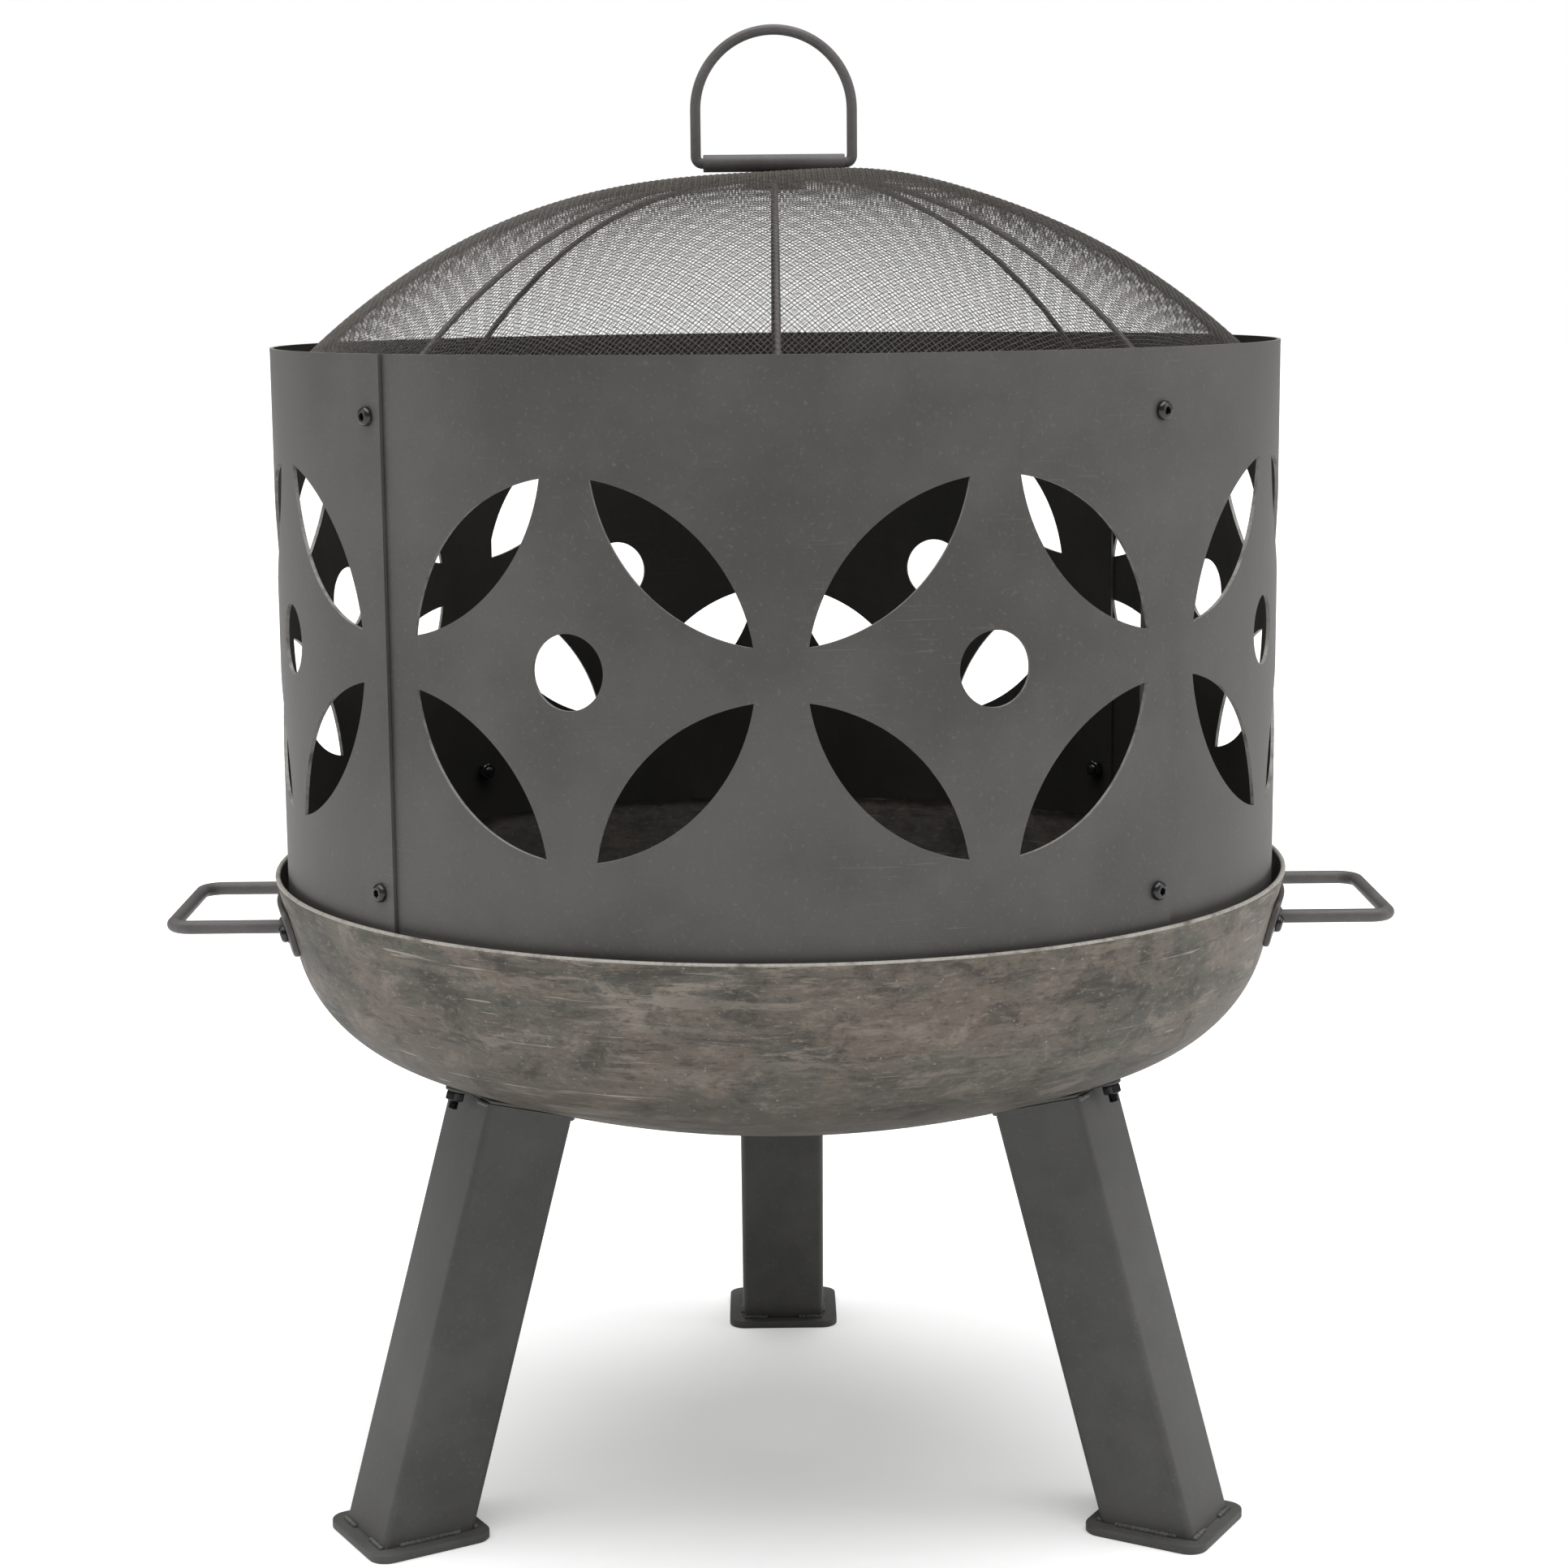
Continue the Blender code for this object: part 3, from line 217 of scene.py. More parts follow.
def wire_mesh(paths: Sequence[Sequence[Vector]], closed: bool = False) -> bpy.types.Mesh:
    """Make a mesh of bare edges along paths.

    Args:
        paths: Points of each path.
        closed: Whether each path returns to its start.

    Returns:
        The mesh.
    """
    points: list[Vector] = []
    edges: list[tuple[int, int]] = []
    for path in paths:
        first = len(points)
        points.extend(path)
        last = len(points) - 1
        edges.extend((index, index + 1) for index in range(first, last))
        if closed:
            edges.append((last, first))
    mesh = bpy.data.meshes.new("path")
    mesh.from_pydata(points, edges, [])
    return mesh


def seat_mesh(seats: Sequence[Matrix]) -> bpy.types.Mesh:
    """Make a mesh of loose points that carry the axis and guide of each seat."""
    mesh = bpy.data.meshes.new("seats")
    mesh.from_pydata([seat.translation for seat in seats], [], [])
    for name, column in (("axis", 2), ("guide", 0)):
        layer = mesh.attributes.new(name, "FLOAT_VECTOR", "POINT")
        for index, seat in enumerate(seats):
            layer.data[index].vector = seat.col[column].xyz
    return mesh


def ring(count: int, radius: float, height: float = 0.0, phase: float = 0.0) -> list[Vector]:
    """Return points of a circle about the Z axis."""
    turns = [phase + 2.0 * math.pi * index / count for index in range(count)]
    return [Vector((radius * math.cos(turn), radius * math.sin(turn), height)) for turn in turns]


def rounded_box(size_x: float, size_y: float, corner: float, steps: int) -> list[Vector]:
    """Return the outline of a rectangle with round corners, in the XY plane."""
    points = []
    for quarter, (sign_x, sign_y) in enumerate(((1, 1), (-1, 1), (-1, -1), (1, -1))):
        for step in range(steps + 1):
            turn = math.pi / 2.0 * (quarter + step / steps)
            points.append(Vector((sign_x * (size_x / 2.0 - corner) + corner * math.cos(turn),
                                  sign_y * (size_y / 2.0 - corner) + corner * math.sin(turn), 0.0)))
    return points


def skin(loops: Sequence[Sequence[Vector]], caps: bool = True, around: bool = False) -> bmesh.types.BMesh:
    """Join equal loops of points with quads.

    Args:
        loops: The loops in order.
        caps: Whether the first and last loops are filled.
        around: Whether the last loop joins the first.

    Returns:
        The edit mesh.
    """
    edit = bmesh.new()
    rows = [[edit.verts.new(point) for point in loop] for loop in loops]
    pairs = list(zip(rows, rows[1:]))
    if around:
        pairs.append((rows[-1], rows[0]))
    for first, second in pairs:
        for index in range(len(first)):
            after = (index + 1) % len(first)
            edit.faces.new((first[index], first[after], second[after], second[index]))
    if caps and not around:
        edit.faces.new(rows[0])
        edit.faces.new(rows[-1])
    return edit


def settle(edit: bmesh.types.BMesh, name: str, material: bpy.types.Material) -> bpy.types.Mesh:
    """Turn an edit mesh into a mesh with one material."""
    mesh = bpy.data.meshes.new(name)
    edit.to_mesh(mesh)
    edit.free()
    mesh.materials.append(material)
    return mesh


def gather(name: str, meshes: Sequence[tuple[bpy.types.Mesh, Matrix]]) -> bpy.types.Mesh:
    """Join placed meshes of the same material into one mesh."""
    edit = bmesh.new()
    for mesh, place in meshes:
        part = bmesh.new()
        part.from_mesh(mesh)
        for face in part.faces:
            face.material_index = 0
        bmesh.ops.transform(part, matrix=place, verts=part.verts)
        scratch = bpy.data.meshes.new("scratch")
        part.to_mesh(scratch)
        part.free()
        edit.from_mesh(scratch)
        bpy.data.meshes.remove(scratch)
    return settle(edit, name, meshes[0][0].materials[0])


def seat_frame(origin: Vector, axis: Vector, guide: Vector) -> Matrix:
    """Return a matrix at an origin with Z along an axis and X near a guide."""
    z_axis = axis.normalized()
    x_axis = (guide - z_axis * guide.dot(z_axis)).normalized()
    matrix = Matrix((x_axis, z_axis.cross(x_axis), z_axis)).transposed().to_4x4()
    matrix.translation = origin
    return matrix


def turn_z(angle: float) -> Matrix:
    """Return a turn about the Z axis."""
    return Matrix.Rotation(angle, 4, "Z")


def finish_piece(name: str, mesh: bpy.types.Mesh, body: Body, stands_for: Sequence[str] = (),
                 smooth: float = 35.0, outward: bool = True) -> bpy.types.Object:
    """Put a finished mesh into the scene as a piece.

    Args:
        name: The piece's name.
        mesh: Its mesh, in the row's frame.
        body: The body that it rides on.
        stands_for: CAD nodes that it replaces.
        smooth: Edges sharper than this angle in degrees stay sharp.
        outward: Whether the faces are turned to point out.

    Returns:
        The object.
    """
    if outward:
        edit = bmesh.new()
        edit.from_mesh(mesh)
        bmesh.ops.recalc_face_normals(edit, faces=edit.faces)
        edit.to_mesh(mesh)
        edit.free()
    mesh.name = name
    mesh.shade_smooth()
    mesh.set_sharp_from_angle(angle=math.radians(smooth))
    item = bpy.data.objects.new(name, mesh)
    bpy.context.scene.collection.objects.link(item)
    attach(item, body.value)
    if stands_for:
        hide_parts(*stands_for)
    LOG.info("%s: %d faces on %s", name, len(mesh.polygons), body.value)
    return item


# ---------------------------------------------------------------- finishes
class Coat(NodeSheet):
    """A procedural material being laid out around one Principled shader."""

    def __init__(self, name: str) -> None:
        """Make the material with its Object coordinates."""
        self.material = bpy.data.materials.new(name)
        self.material.use_nodes = True
        super().__init__(self.material.node_tree)
        self.shader = self.tree.nodes["Principled BSDF"]
        self.place = self.add("ShaderNodeTexCoord").outputs["Object"]

    def scaled(self, x: float, y: float, z: float, shift: float = 0.0) -> bpy.types.NodeSocket:
        """Return Object coordinates scaled on each axis and shifted."""
        node = self.add("ShaderNodeMapping", {"Vector": self.place, "Location": (shift, shift, shift),
                                              "Scale": (x, y, z)})
        return node.outputs[0]

    def cloud(self, vector: object, scale: float, detail: float = 4.0, rough: float = 0.55,
              twist: float = 0.0) -> bpy.types.NodeSocket:
        """Return a noise factor."""
        node = self.add("ShaderNodeTexNoise", {"Vector": vector, "Scale": scale, "Detail": detail,
                                               "Roughness": rough, "Distortion": twist})
        return node.outputs[0]

    def ramp(self, value: object, low: float, high: float, start: float = 0.0,
             end: float = 1.0) -> bpy.types.NodeSocket:
        """Return a smooth step of a value between two limits."""
        node = self.add("ShaderNodeMapRange", {0: value, 1: low, 2: high, 3: start, 4: end},
                        interpolation_type="SMOOTHSTEP")
        return node.outputs[0]

    def blend(self, share: object, first: object, second: object) -> bpy.types.NodeSocket:
        """Return a mix of two colours."""
        node = self.add("ShaderNodeMix", data_type="RGBA")
        self.feed(node.inputs[0], share)
        for index, value in ((6, first), (7, second)):
            self.feed(node.inputs[index], (*value, 1.0) if isinstance(value, tuple) else value)
        return node.outputs[2]

    def strokes(self, lean: tuple[float, float, float], length: float, width: float, share: float,
                patch: object) -> bpy.types.NodeSocket:
        """Return short straight scratches inside the patches of a factor.

        Args:
            lean: Turn of the scratches in degrees about each axis.
            length: Scale along a scratch, which is small for a long one.
            width: Scale across a scratch, which is large for a thin one.
            share: Noise value above which there is a scratch.
            patch: Factor from 0 to 1 where scratches show.

        Returns:
            A factor, 1 on a scratch.
        """
        turned = self.add("ShaderNodeMapping", {"Vector": self.place, "Scale": (length, length, width),
                                                "Rotation": tuple(math.radians(part) for part in lean)})
        streak = self.cloud(turned.outputs[0], 1.0, 2.0, 0.5)
        return self.calc("MULTIPLY", self.ramp(streak, share, share + 0.05), patch)

    def emboss(self, height: object, strength: float, distance: float, below: object = None) -> bpy.types.NodeSocket:
        """Return a normal bumped by a height, over another normal if one is given."""
        node = self.add("ShaderNodeBump", {"Height": height, "Strength": strength, "Distance": distance})
        if below is not None:
            self.feed(node.inputs["Normal"], below)
        return node.outputs[0]

    def done(self, colour: object, rough: object, normal: object, metallic: float = 0.0,
             specular: float = 0.5) -> bpy.types.Material:
        """Wire the shader and return the material."""
        self.feed(self.shader.inputs["Base Color"], colour)
        self.feed(self.shader.inputs["Roughness"], rough)
        self.feed(self.shader.inputs["Normal"], normal)
        self.shader.inputs["Metallic"].default_value = metallic
        self.shader.inputs["Specular IOR Level"].default_value = specular
        return self.material


@dataclass(frozen=True)
class HeatPaint:
    """Satin high-heat paint on steel: soft patches, fine orange peel, scuffs and short scratches, and where asked
    painted shade with soot blotches.
    """

    name: str
    colour: Colour
    worn: Colour
    roughness: float
    scuffs: float = 0.35
    patch_scale: float = 9.0
    peel: float = 0.00008
    specular: float = 0.4
    shade_and_soot: float = 0.0

    def material(self) -> bpy.types.Material:
        """Return the material."""
        coat = Coat(self.name)
        patches = coat.cloud(coat.place, self.patch_scale, 5.0, 0.6)
        dust = coat.cloud(coat.scaled(1.0, 1.0, 1.0, 4.7), 420.0, 2.0, 0.6)
        dark = tuple(part * 0.80 for part in self.colour)
        light = tuple(part * 1.22 for part in self.colour)
        base = coat.blend(coat.ramp(patches, 0.3, 0.7), dark, light)
        base = coat.blend(coat.ramp(dust, 0.56, 0.80, 0.0, 0.35), base, self.worn)
        where = coat.ramp(coat.cloud(coat.scaled(1.0, 1.0, 1.0, 9.1), 7.0, 3.0), 0.52, 0.68)
        lines = coat.calc("MAXIMUM", coat.strokes((0.0, 38.0, 20.0), 24.0, 900.0, 0.66, where),
                          coat.strokes((0.0, -62.0, -35.0), 30.0, 700.0, 0.68, where))
        scrubbed = coat.cloud(coat.scaled(1.0, 1.0, 0.35, 6.0), 34.0, 6.0, 0.7)
        rubs = coat.calc("MULTIPLY", coat.ramp(scrubbed, 0.60, 0.78), where)
        marks = coat.calc("MULTIPLY", coat.calc("MAXIMUM", lines, coat.calc("MULTIPLY", rubs, 0.55)), self.scuffs)
        base = coat.blend(marks, base, self.worn)
        # Painted shade with soot blotches: a cloud darkens the colour towards near black.
        if self.shade_and_soot:
            base = coat.blend(coat.ramp(coat.cloud(coat.scaled(1.0, 1.0, 0.7, 6.6), 9.0, 5.0, 0.6), 0.25, 0.75,
                                        self.shade_and_soot - 0.2, self.shade_and_soot + 0.15), base, (0.012, 0.0115, 0.011))
        peel = coat.cloud(coat.place, 900.0, 2.0, 0.5)
        rough = coat.calc("ADD", coat.ramp(patches, 0.25, 0.75, self.roughness - 0.06, self.roughness + 0.06),
                          coat.calc("MULTIPLY", dust, 0.08))
        normal = coat.emboss(patches, 0.10, 0.0008)
        normal = coat.emboss(peel, 0.55, self.peel, normal)
        return coat.done(base, rough, normal, 0.0, self.specular)


@dataclass(frozen=True)
class SpunIron:
    """Bare hot-rolled iron of the bowl: mottled brown and grey scale, level streaks and scratches, with painted shade
    towards the bottom and, where asked, painted shade with soot blotches.
    """

    name: str
    brown: Colour = (0.150, 0.124, 0.099)
    grey: Colour = (0.100, 0.096, 0.080)
    pale: Colour = (0.290, 0.250, 0.208)
    dark: Colour = (0.038, 0.034, 0.029)
    shade_and_soot: float = 0.0
    # Height below which the colour is darkened: painted shade for the bottom of the bowl.
    painted_shade_level: float = 0.272
    specular: float = 0.35

    def material(self) -> bpy.types.Material:
        """Return the material."""
        coat = Coat(self.name)
        wide = coat.cloud(coat.scaled(1.0, 1.0, 2.2), 7.0, 6.0, 0.66, 0.8)
        blotch = coat.cloud(coat.scaled(1.0, 1.0, 1.5, 3.3), 26.0, 8.0, 0.72, 0.5)
        streak = coat.cloud(coat.scaled(1.0, 1.0, 8.0, 8.8), 17.0, 8.0, 0.72, 0.3)
        crack = coat.cloud(coat.scaled(1.0, 1.0, 14.0, 2.8), 22.0, 6.0, 0.70)
        fine = coat.cloud(coat.scaled(1.0, 1.0, 2.6, 1.9), 170.0, 6.0, 0.75)
        base = coat.blend(coat.ramp(wide, 0.42, 0.58), self.brown, self.grey)
        base = coat.blend(coat.ramp(blotch, 0.50, 0.64, 0.0, 0.72), base, self.dark)
        base = coat.blend(coat.ramp(blotch, 0.47, 0.34, 0.0, 0.55), base, self.pale)
        zone = coat.ramp(coat.cloud(coat.scaled(1.0, 1.0, 1.6, 5.9), 4.5, 4.0, 0.6), 0.40, 0.62)
        pale = coat.calc("MULTIPLY", coat.ramp(streak, 0.51, 0.60, 0.0, 0.78), zone)
        base = coat.blend(pale, base, self.pale)
        base = coat.blend(coat.ramp(streak, 0.46, 0.36, 0.0, 0.60), base, self.dark)
        base = coat.blend(coat.calc("MULTIPLY", coat.ramp(crack, 0.60, 0.66, 0.0, 0.85), zone), base, self.dark)
        base = coat.blend(coat.ramp(fine, 0.54, 0.68, 0.0, 0.60), base, self.pale)
        base = coat.blend(coat.ramp(fine, 0.46, 0.34, 0.0, 0.60), base, self.dark)
        where = coat.ramp(coat.cloud(coat.scaled(1.0, 1.0, 1.0, 5.4), 5.0, 2.0), 0.50, 0.62)
        lines = coat.calc("MAXIMUM", coat.strokes((0.0, 42.0, 15.0), 16.0, 620.0, 0.67, where),
                          coat.strokes((0.0, 24.0, -30.0), 22.0, 480.0, 0.69, where))
        # Painted shade: below the given level the colour is blended towards the dark tone, standing in for the bottom
        # of the bowl getting less light.
        height = coat.split(coat.place)[2]
        under = coat.calc("ADD", height, coat.calc("MULTIPLY", coat.calc("SUBTRACT", wide, 0.5), 0.10))
        base = coat.blend(coat.ramp(under, self.painted_shade_level, self.painted_shade_level + 0.055, 0.54, 0.0), base, self.dark)
        pits = coat.ramp(coat.cloud(coat.scaled(1.0, 1.0, 1.0, 2.2), 330.0, 2.0, 0.5), 0.70, 0.76)
        base = coat.blend(coat.calc("MULTIPLY", lines, 0.70), base, (0.40, 0.37, 0.32))
        base = coat.blend(coat.calc("MULTIPLY", pits, 0.5), base, (0.38, 0.35, 0.30))
        # Painted shade with soot blotches: a cloud darkens the colour towards near black.
        if self.shade_and_soot:
            spread = coat.ramp(coat.cloud(coat.scaled(1.0, 1.0, 1.0, 6.6), 8.0, 5.0, 0.6), 0.25, 0.75,
                               self.shade_and_soot - 0.22, self.shade_and_soot + 0.12)
            base = coat.blend(spread, base, (0.016, 0.015, 0.014))
        rough = coat.calc("ADD", coat.ramp(wide, 0.3, 0.7, 0.50, 0.64), coat.ramp(fine, 0.3, 0.7, -0.05, 0.06))
        normal = coat.emboss(wide, 0.35, 0.0016)
        normal = coat.emboss(blotch, 0.35, 0.0005, normal)
        normal = coat.emboss(coat.calc("SUBTRACT", streak, coat.calc("MULTIPLY", lines, 0.4)), 0.45, 0.0003, normal)
        return coat.done(base, rough, normal, 0.0, self.specular)


@dataclass(frozen=True)
class LighterEdge:
    """Edge painted lighter than its face, with the face's colour left in patches: a painted highlight on the ring's cut
    edges, and rubbed-back steel on the bowl's rim.
    """

    name: str
    colour: Colour
    painted: Colour
    share: float = 0.55

    def material(self) -> bpy.types.Material:
        """Return the material."""
        coat = Coat(self.name)
        patches = coat.cloud(coat.place, 60.0, 5.0, 0.65)
        fine = coat.cloud(coat.scaled(1.0, 1.0, 1.0, 3.0), 500.0, 2.0)
        base = coat.blend(coat.ramp(patches, self.share - 0.12, self.share + 0.12), self.colour, self.painted)
        base = coat.blend(coat.ramp(fine, 0.4, 0.7, 0.0, 0.3), base, self.painted)
        return coat.done(base, coat.ramp(patches, 0.3, 0.7, 0.38, 0.52), coat.emboss(fine, 0.4, 0.0001), 0.0, 0.5)


@dataclass(frozen=True)
class BlackOxide:
    """Glossy black oxide of the fasteners, with a thin film of oil."""

    name: str
    roughness: float = 0.20

    def material(self) -> bpy.types.Material:
        """Return the material."""
        coat = Coat(self.name)
        smear = coat.cloud(coat.place, 240.0, 3.0)
        grain = coat.cloud(coat.scaled(1.0, 1.0, 1.0, 5.0), 1800.0, 2.0)
        base = coat.blend(coat.ramp(smear, 0.35, 0.7), (0.006, 0.006, 0.007), (0.016, 0.015, 0.015))
        rough = coat.ramp(smear, 0.3, 0.7, self.roughness - 0.05, self.roughness + 0.10)
        return coat.done(base, rough, coat.emboss(grain, 0.3, 0.00004), 0.0, 0.65)


@dataclass(frozen=True)
class WireSteel:
    """Dull wire of the cloth, brownish where the heat has reached it."""

    name: str
    colour: Colour = (0.090, 0.083, 0.075)
    brown: Colour = (0.070, 0.058, 0.047)

    def material(self) -> bpy.types.Material:
        """Return the material."""
        coat = Coat(self.name)
        heat = coat.cloud(coat.place, 7.0, 4.0, 0.6)
        grain = coat.cloud(coat.scaled(1.0, 1.0, 1.0, 5.0), 700.0, 2.0)
        base = coat.blend(coat.ramp(heat, 0.35, 0.70), self.colour, self.brown)
        base = coat.blend(coat.ramp(grain, 0.45, 0.75, 0.0, 0.5), base, (0.33, 0.31, 0.28))
        return coat.done(base, coat.ramp(grain, 0.3, 0.7, 0.36, 0.52), coat.emboss(grain, 0.3, 0.00005), 0.35, 0.5)


@dataclass(frozen=True)
class ScaledIron:
    """Rough black iron of the grate, with grey ash and a little rust."""

    name: str

    def material(self) -> bpy.types.Material:
        """Return the material."""
        coat = Coat(self.name)
        scale = coat.cloud(coat.place, 70.0, 6.0, 0.7)
        ash = coat.cloud(coat.scaled(1.0, 1.0, 1.0, 4.0), 16.0, 5.0, 0.65)
        base = coat.blend(coat.ramp(scale, 0.35, 0.7), (0.026, 0.024, 0.022), (0.062, 0.055, 0.048))
        base = coat.blend(coat.ramp(ash, 0.55, 0.75, 0.0, 0.6), base, (0.105, 0.098, 0.090))
        base = coat.blend(coat.ramp(ash, 0.36, 0.26, 0.0, 0.6), base, (0.095, 0.042, 0.020))
        normal = coat.emboss(scale, 0.7, 0.0006)
        return coat.done(base, coat.ramp(scale, 0.3, 0.7, 0.62, 0.82), normal, 0.0, 0.35)


@dataclass(frozen=True)
class StudioFloor:
    """Matt pale floor with a faint tooth, lifted towards white so that shadows on it stay light."""

    name: str
    colour: Colour = (0.93, 0.93, 0.93)
    lift: float = 0.32

    def material(self) -> bpy.types.Material:
        """Return the material."""
        coat = Coat(self.name)
        tooth = coat.cloud(coat.place, 60.0, 3.0)
        base = coat.blend(coat.ramp(tooth, 0.3, 0.7), tuple(part * 0.985 for part in self.colour), self.colour)
        coat.shader.inputs["Emission Color"].default_value = (1.0, 1.0, 1.0, 1.0)
        seen = coat.add("ShaderNodeLightPath").outputs["Is Camera Ray"]
        coat.feed(coat.shader.inputs["Emission Strength"], coat.calc("MULTIPLY", seen, self.lift))
        return coat.done(base, coat.ramp(tooth, 0.2, 0.8, 0.72, 0.82), coat.emboss(tooth, 0.1, 0.0003), 0.0, 0.2)


class Wardrobe:
    """Every finish of the fire pit, made once."""

    def __init__(self) -> None:
        """Make the materials."""
        self.sheet = HeatPaint("ring_sheet_paint", (0.0860, 0.0815, 0.0770), (0.190, 0.182, 0.172), 0.47).material()
        # The ring's inside faces get a darker paint: painted shade with soot blotches.
        self.sheet_inside = HeatPaint("ring_sooty_inside", (0.060, 0.057, 0.053), (0.120, 0.115, 0.108), 0.62,
                                      specular=0.2, shade_and_soot=0.6).material()
        # Painted highlight: the petals' cut edges are painted lighter so that they read as catching the light.
        self.cut_edge_highlight = LighterEdge("ring_cut_edge", (0.30, 0.29, 0.27), (0.13, 0.125, 0.115)).material()
        self.leg = HeatPaint("leg_grey_paint", (0.0840, 0.0830, 0.0785), (0.175, 0.172, 0.162), 0.46, 0.34, 14.0,
                             0.00010).material()
        self.rod = HeatPaint("rod_grey_paint", (0.1220, 0.1120, 0.1120), (0.230, 0.216, 0.214), 0.46, 0.25, 22.0,
                             0.00007).material()
        self.weld = HeatPaint("weld_bead_paint", (0.110, 0.110, 0.104), (0.230, 0.225, 0.215), 0.42, 0.5, 90.0,
                              0.00020, 0.5).material()
        self.bowl = SpunIron("bowl_scaled_iron").material()
        # The bowl's inside faces get painted shade with soot blotches.
        self.bowl_inside = SpunIron("bowl_sooty_iron", shade_and_soot=0.62).material()
        self.bowl_rim = LighterEdge("bowl_rim_worn", (0.42, 0.40, 0.36), (0.150, 0.130, 0.105), 0.60).material()
        self.screw = BlackOxide("fastener_black_oxide").material()
        self.wire = WireSteel("screen_wire_steel").material()
        self.grate = ScaledIron("grate_scaled_iron").material()
        self.floor = StudioFloor("studio_floor_matt").material()


# ---------------------------------------------------------------- recipes
class Kitchen:
    """The Geometry Nodes recipes shared by the sub-assemblies."""

    def __init__(self) -> None:
        """Lay out the recipes."""
        self.rod = self._rod()
        self.lathe = self._lathe()
        self.fasten = self._fasten()
        self.beads = self._beads()

    @staticmethod
    def _rod() -> Recipe:
        """Return the recipe for a round rod along each path of the base mesh."""
        recipe = Recipe("round_rod", {"Radius": float, "Sides": int, "Finish": bpy.types.Material})
        curve = recipe.add("GeometryNodeMeshToCurve", {"Mesh": recipe["Geometry"]})
        round_ = recipe.add("GeometryNodeCurvePrimitiveCircle",
                            {"Resolution": recipe["Sides"], "Radius": recipe["Radius"]})
        tube = recipe.add("GeometryNodeCurveToMesh", {"Curve": curve, "Profile Curve": round_, "Fill Caps": True})
        return recipe.close(tube, ("Finish", None))

    @staticmethod
    def _lathe() -> Recipe:
        """Return the recipe that turns the ordered points of a section (x, z) about the Z axis."""
        recipe = Recipe("turned_section", {"Around": int, "Finish": bpy.types.Material})
        size = recipe.add("GeometryNodeAttributeDomainSize", {0: recipe["Geometry"]}, component="MESH")
        columns = recipe.calc("ADD", recipe["Around"], 1.0)
        grid = recipe.add("GeometryNodeMeshGrid", {"Size X": 1.0, "Size Y": 1.0, "Vertices X": columns,
                                                   "Vertices Y": size.outputs[0]})
        index = recipe.add("GeometryNodeInputIndex").outputs[0]
        column = recipe.calc("FLOOR", recipe.calc("DIVIDE", recipe.calc("ADD", index, 0.5), size.outputs[0]))
        row = recipe.calc("SUBTRACT", index, recipe.calc("MULTIPLY", column, size.outputs[0]))
        point = recipe.add("GeometryNodeSampleIndex", {0: recipe["Geometry"]}, data_type="FLOAT_VECTOR",
                           domain="POINT")
        recipe.feed(point.inputs["Value"], recipe.add("GeometryNodeInputPosition"))
        recipe.feed(point.inputs["Index"], row)
        radius, _, height = recipe.split(point.outputs[0])
        turn = recipe.calc("DIVIDE", recipe.calc("MULTIPLY", column, 2.0 * math.pi), recipe["Around"])
        spot = recipe.combine(recipe.calc("MULTIPLY", radius, recipe.calc("COSINE", turn)),
                              recipe.calc("MULTIPLY", radius, recipe.calc("SINE", turn)), height)
        moved = recipe.add("GeometryNodeSetPosition", {"Geometry": grid, "Position": spot})
        merged = recipe.add("GeometryNodeMergeByDistance", {"Geometry": moved, "Distance": 2e-6})
        return recipe.close(merged, ("Finish", None))

    @staticmethod
    def _fasten() -> Recipe:
        """Return the recipe that sets a fastener on each seat."""
        recipe = Recipe("set_fasteners", {"Fastener": bpy.types.Object, "Finish": bpy.types.Material})
        shape = recipe.add("GeometryNodeObjectInfo", {"Object": recipe["Fastener"], "As Instance": True})
        reads = [recipe.add("GeometryNodeInputNamedAttribute", {"Name": name}, data_type="FLOAT_VECTOR")
                 for name in ("axis", "guide")]
        pose = recipe.add("FunctionNodeAxesToRotation", primary_axis="Z", secondary_axis="X")
        recipe.feed(pose.inputs[0], reads[0])
        recipe.feed(pose.inputs[1], reads[1])
        placed = recipe.add("GeometryNodeInstanceOnPoints", {"Points": recipe["Geometry"], "Rotation": pose})
        recipe.feed(placed.inputs["Instance"], shape.outputs["Geometry"])
        return recipe.close(placed, ("Finish", None))

    @staticmethod
    def _beads() -> Recipe:
        """Return the recipe that lays a weld bead of overlapping ripples along each path."""
        recipe = Recipe("weld_beads", {"Radius": float, "Pitch": float, "Seed": int, "Finish": bpy.types.Material})
        curve = recipe.add("GeometryNodeMeshToCurve", {"Mesh": recipe["Geometry"]})
        spaced = recipe.add("GeometryNodeResampleCurve", {"Curve": curve, "Length": recipe["Pitch"]}, mode="LENGTH")
        ripple = recipe.add("GeometryNodeMeshUVSphere", {"Segments": 10, "Rings": 6, "Radius": recipe["Radius"]})
        pose = recipe.add("FunctionNodeAlignRotationToVector",
                          {"Vector": recipe.add("GeometryNodeInputTangent")}, axis="Z")
        vary = recipe.add("FunctionNodeRandomValue", data_type="FLOAT_VECTOR")
        recipe.feed(vary.inputs["Min"], (0.80, 0.80, 0.45))
        recipe.feed(vary.inputs["Max"], (1.15, 1.15, 0.70))
        recipe.feed(vary.inputs["Seed"], recipe["Seed"])
        placed = recipe.add("GeometryNodeInstanceOnPoints",
                            {"Points": spaced, "Instance": ripple, "Rotation": pose, "Scale": vary})
        return recipe.close(placed, ("Finish", None))


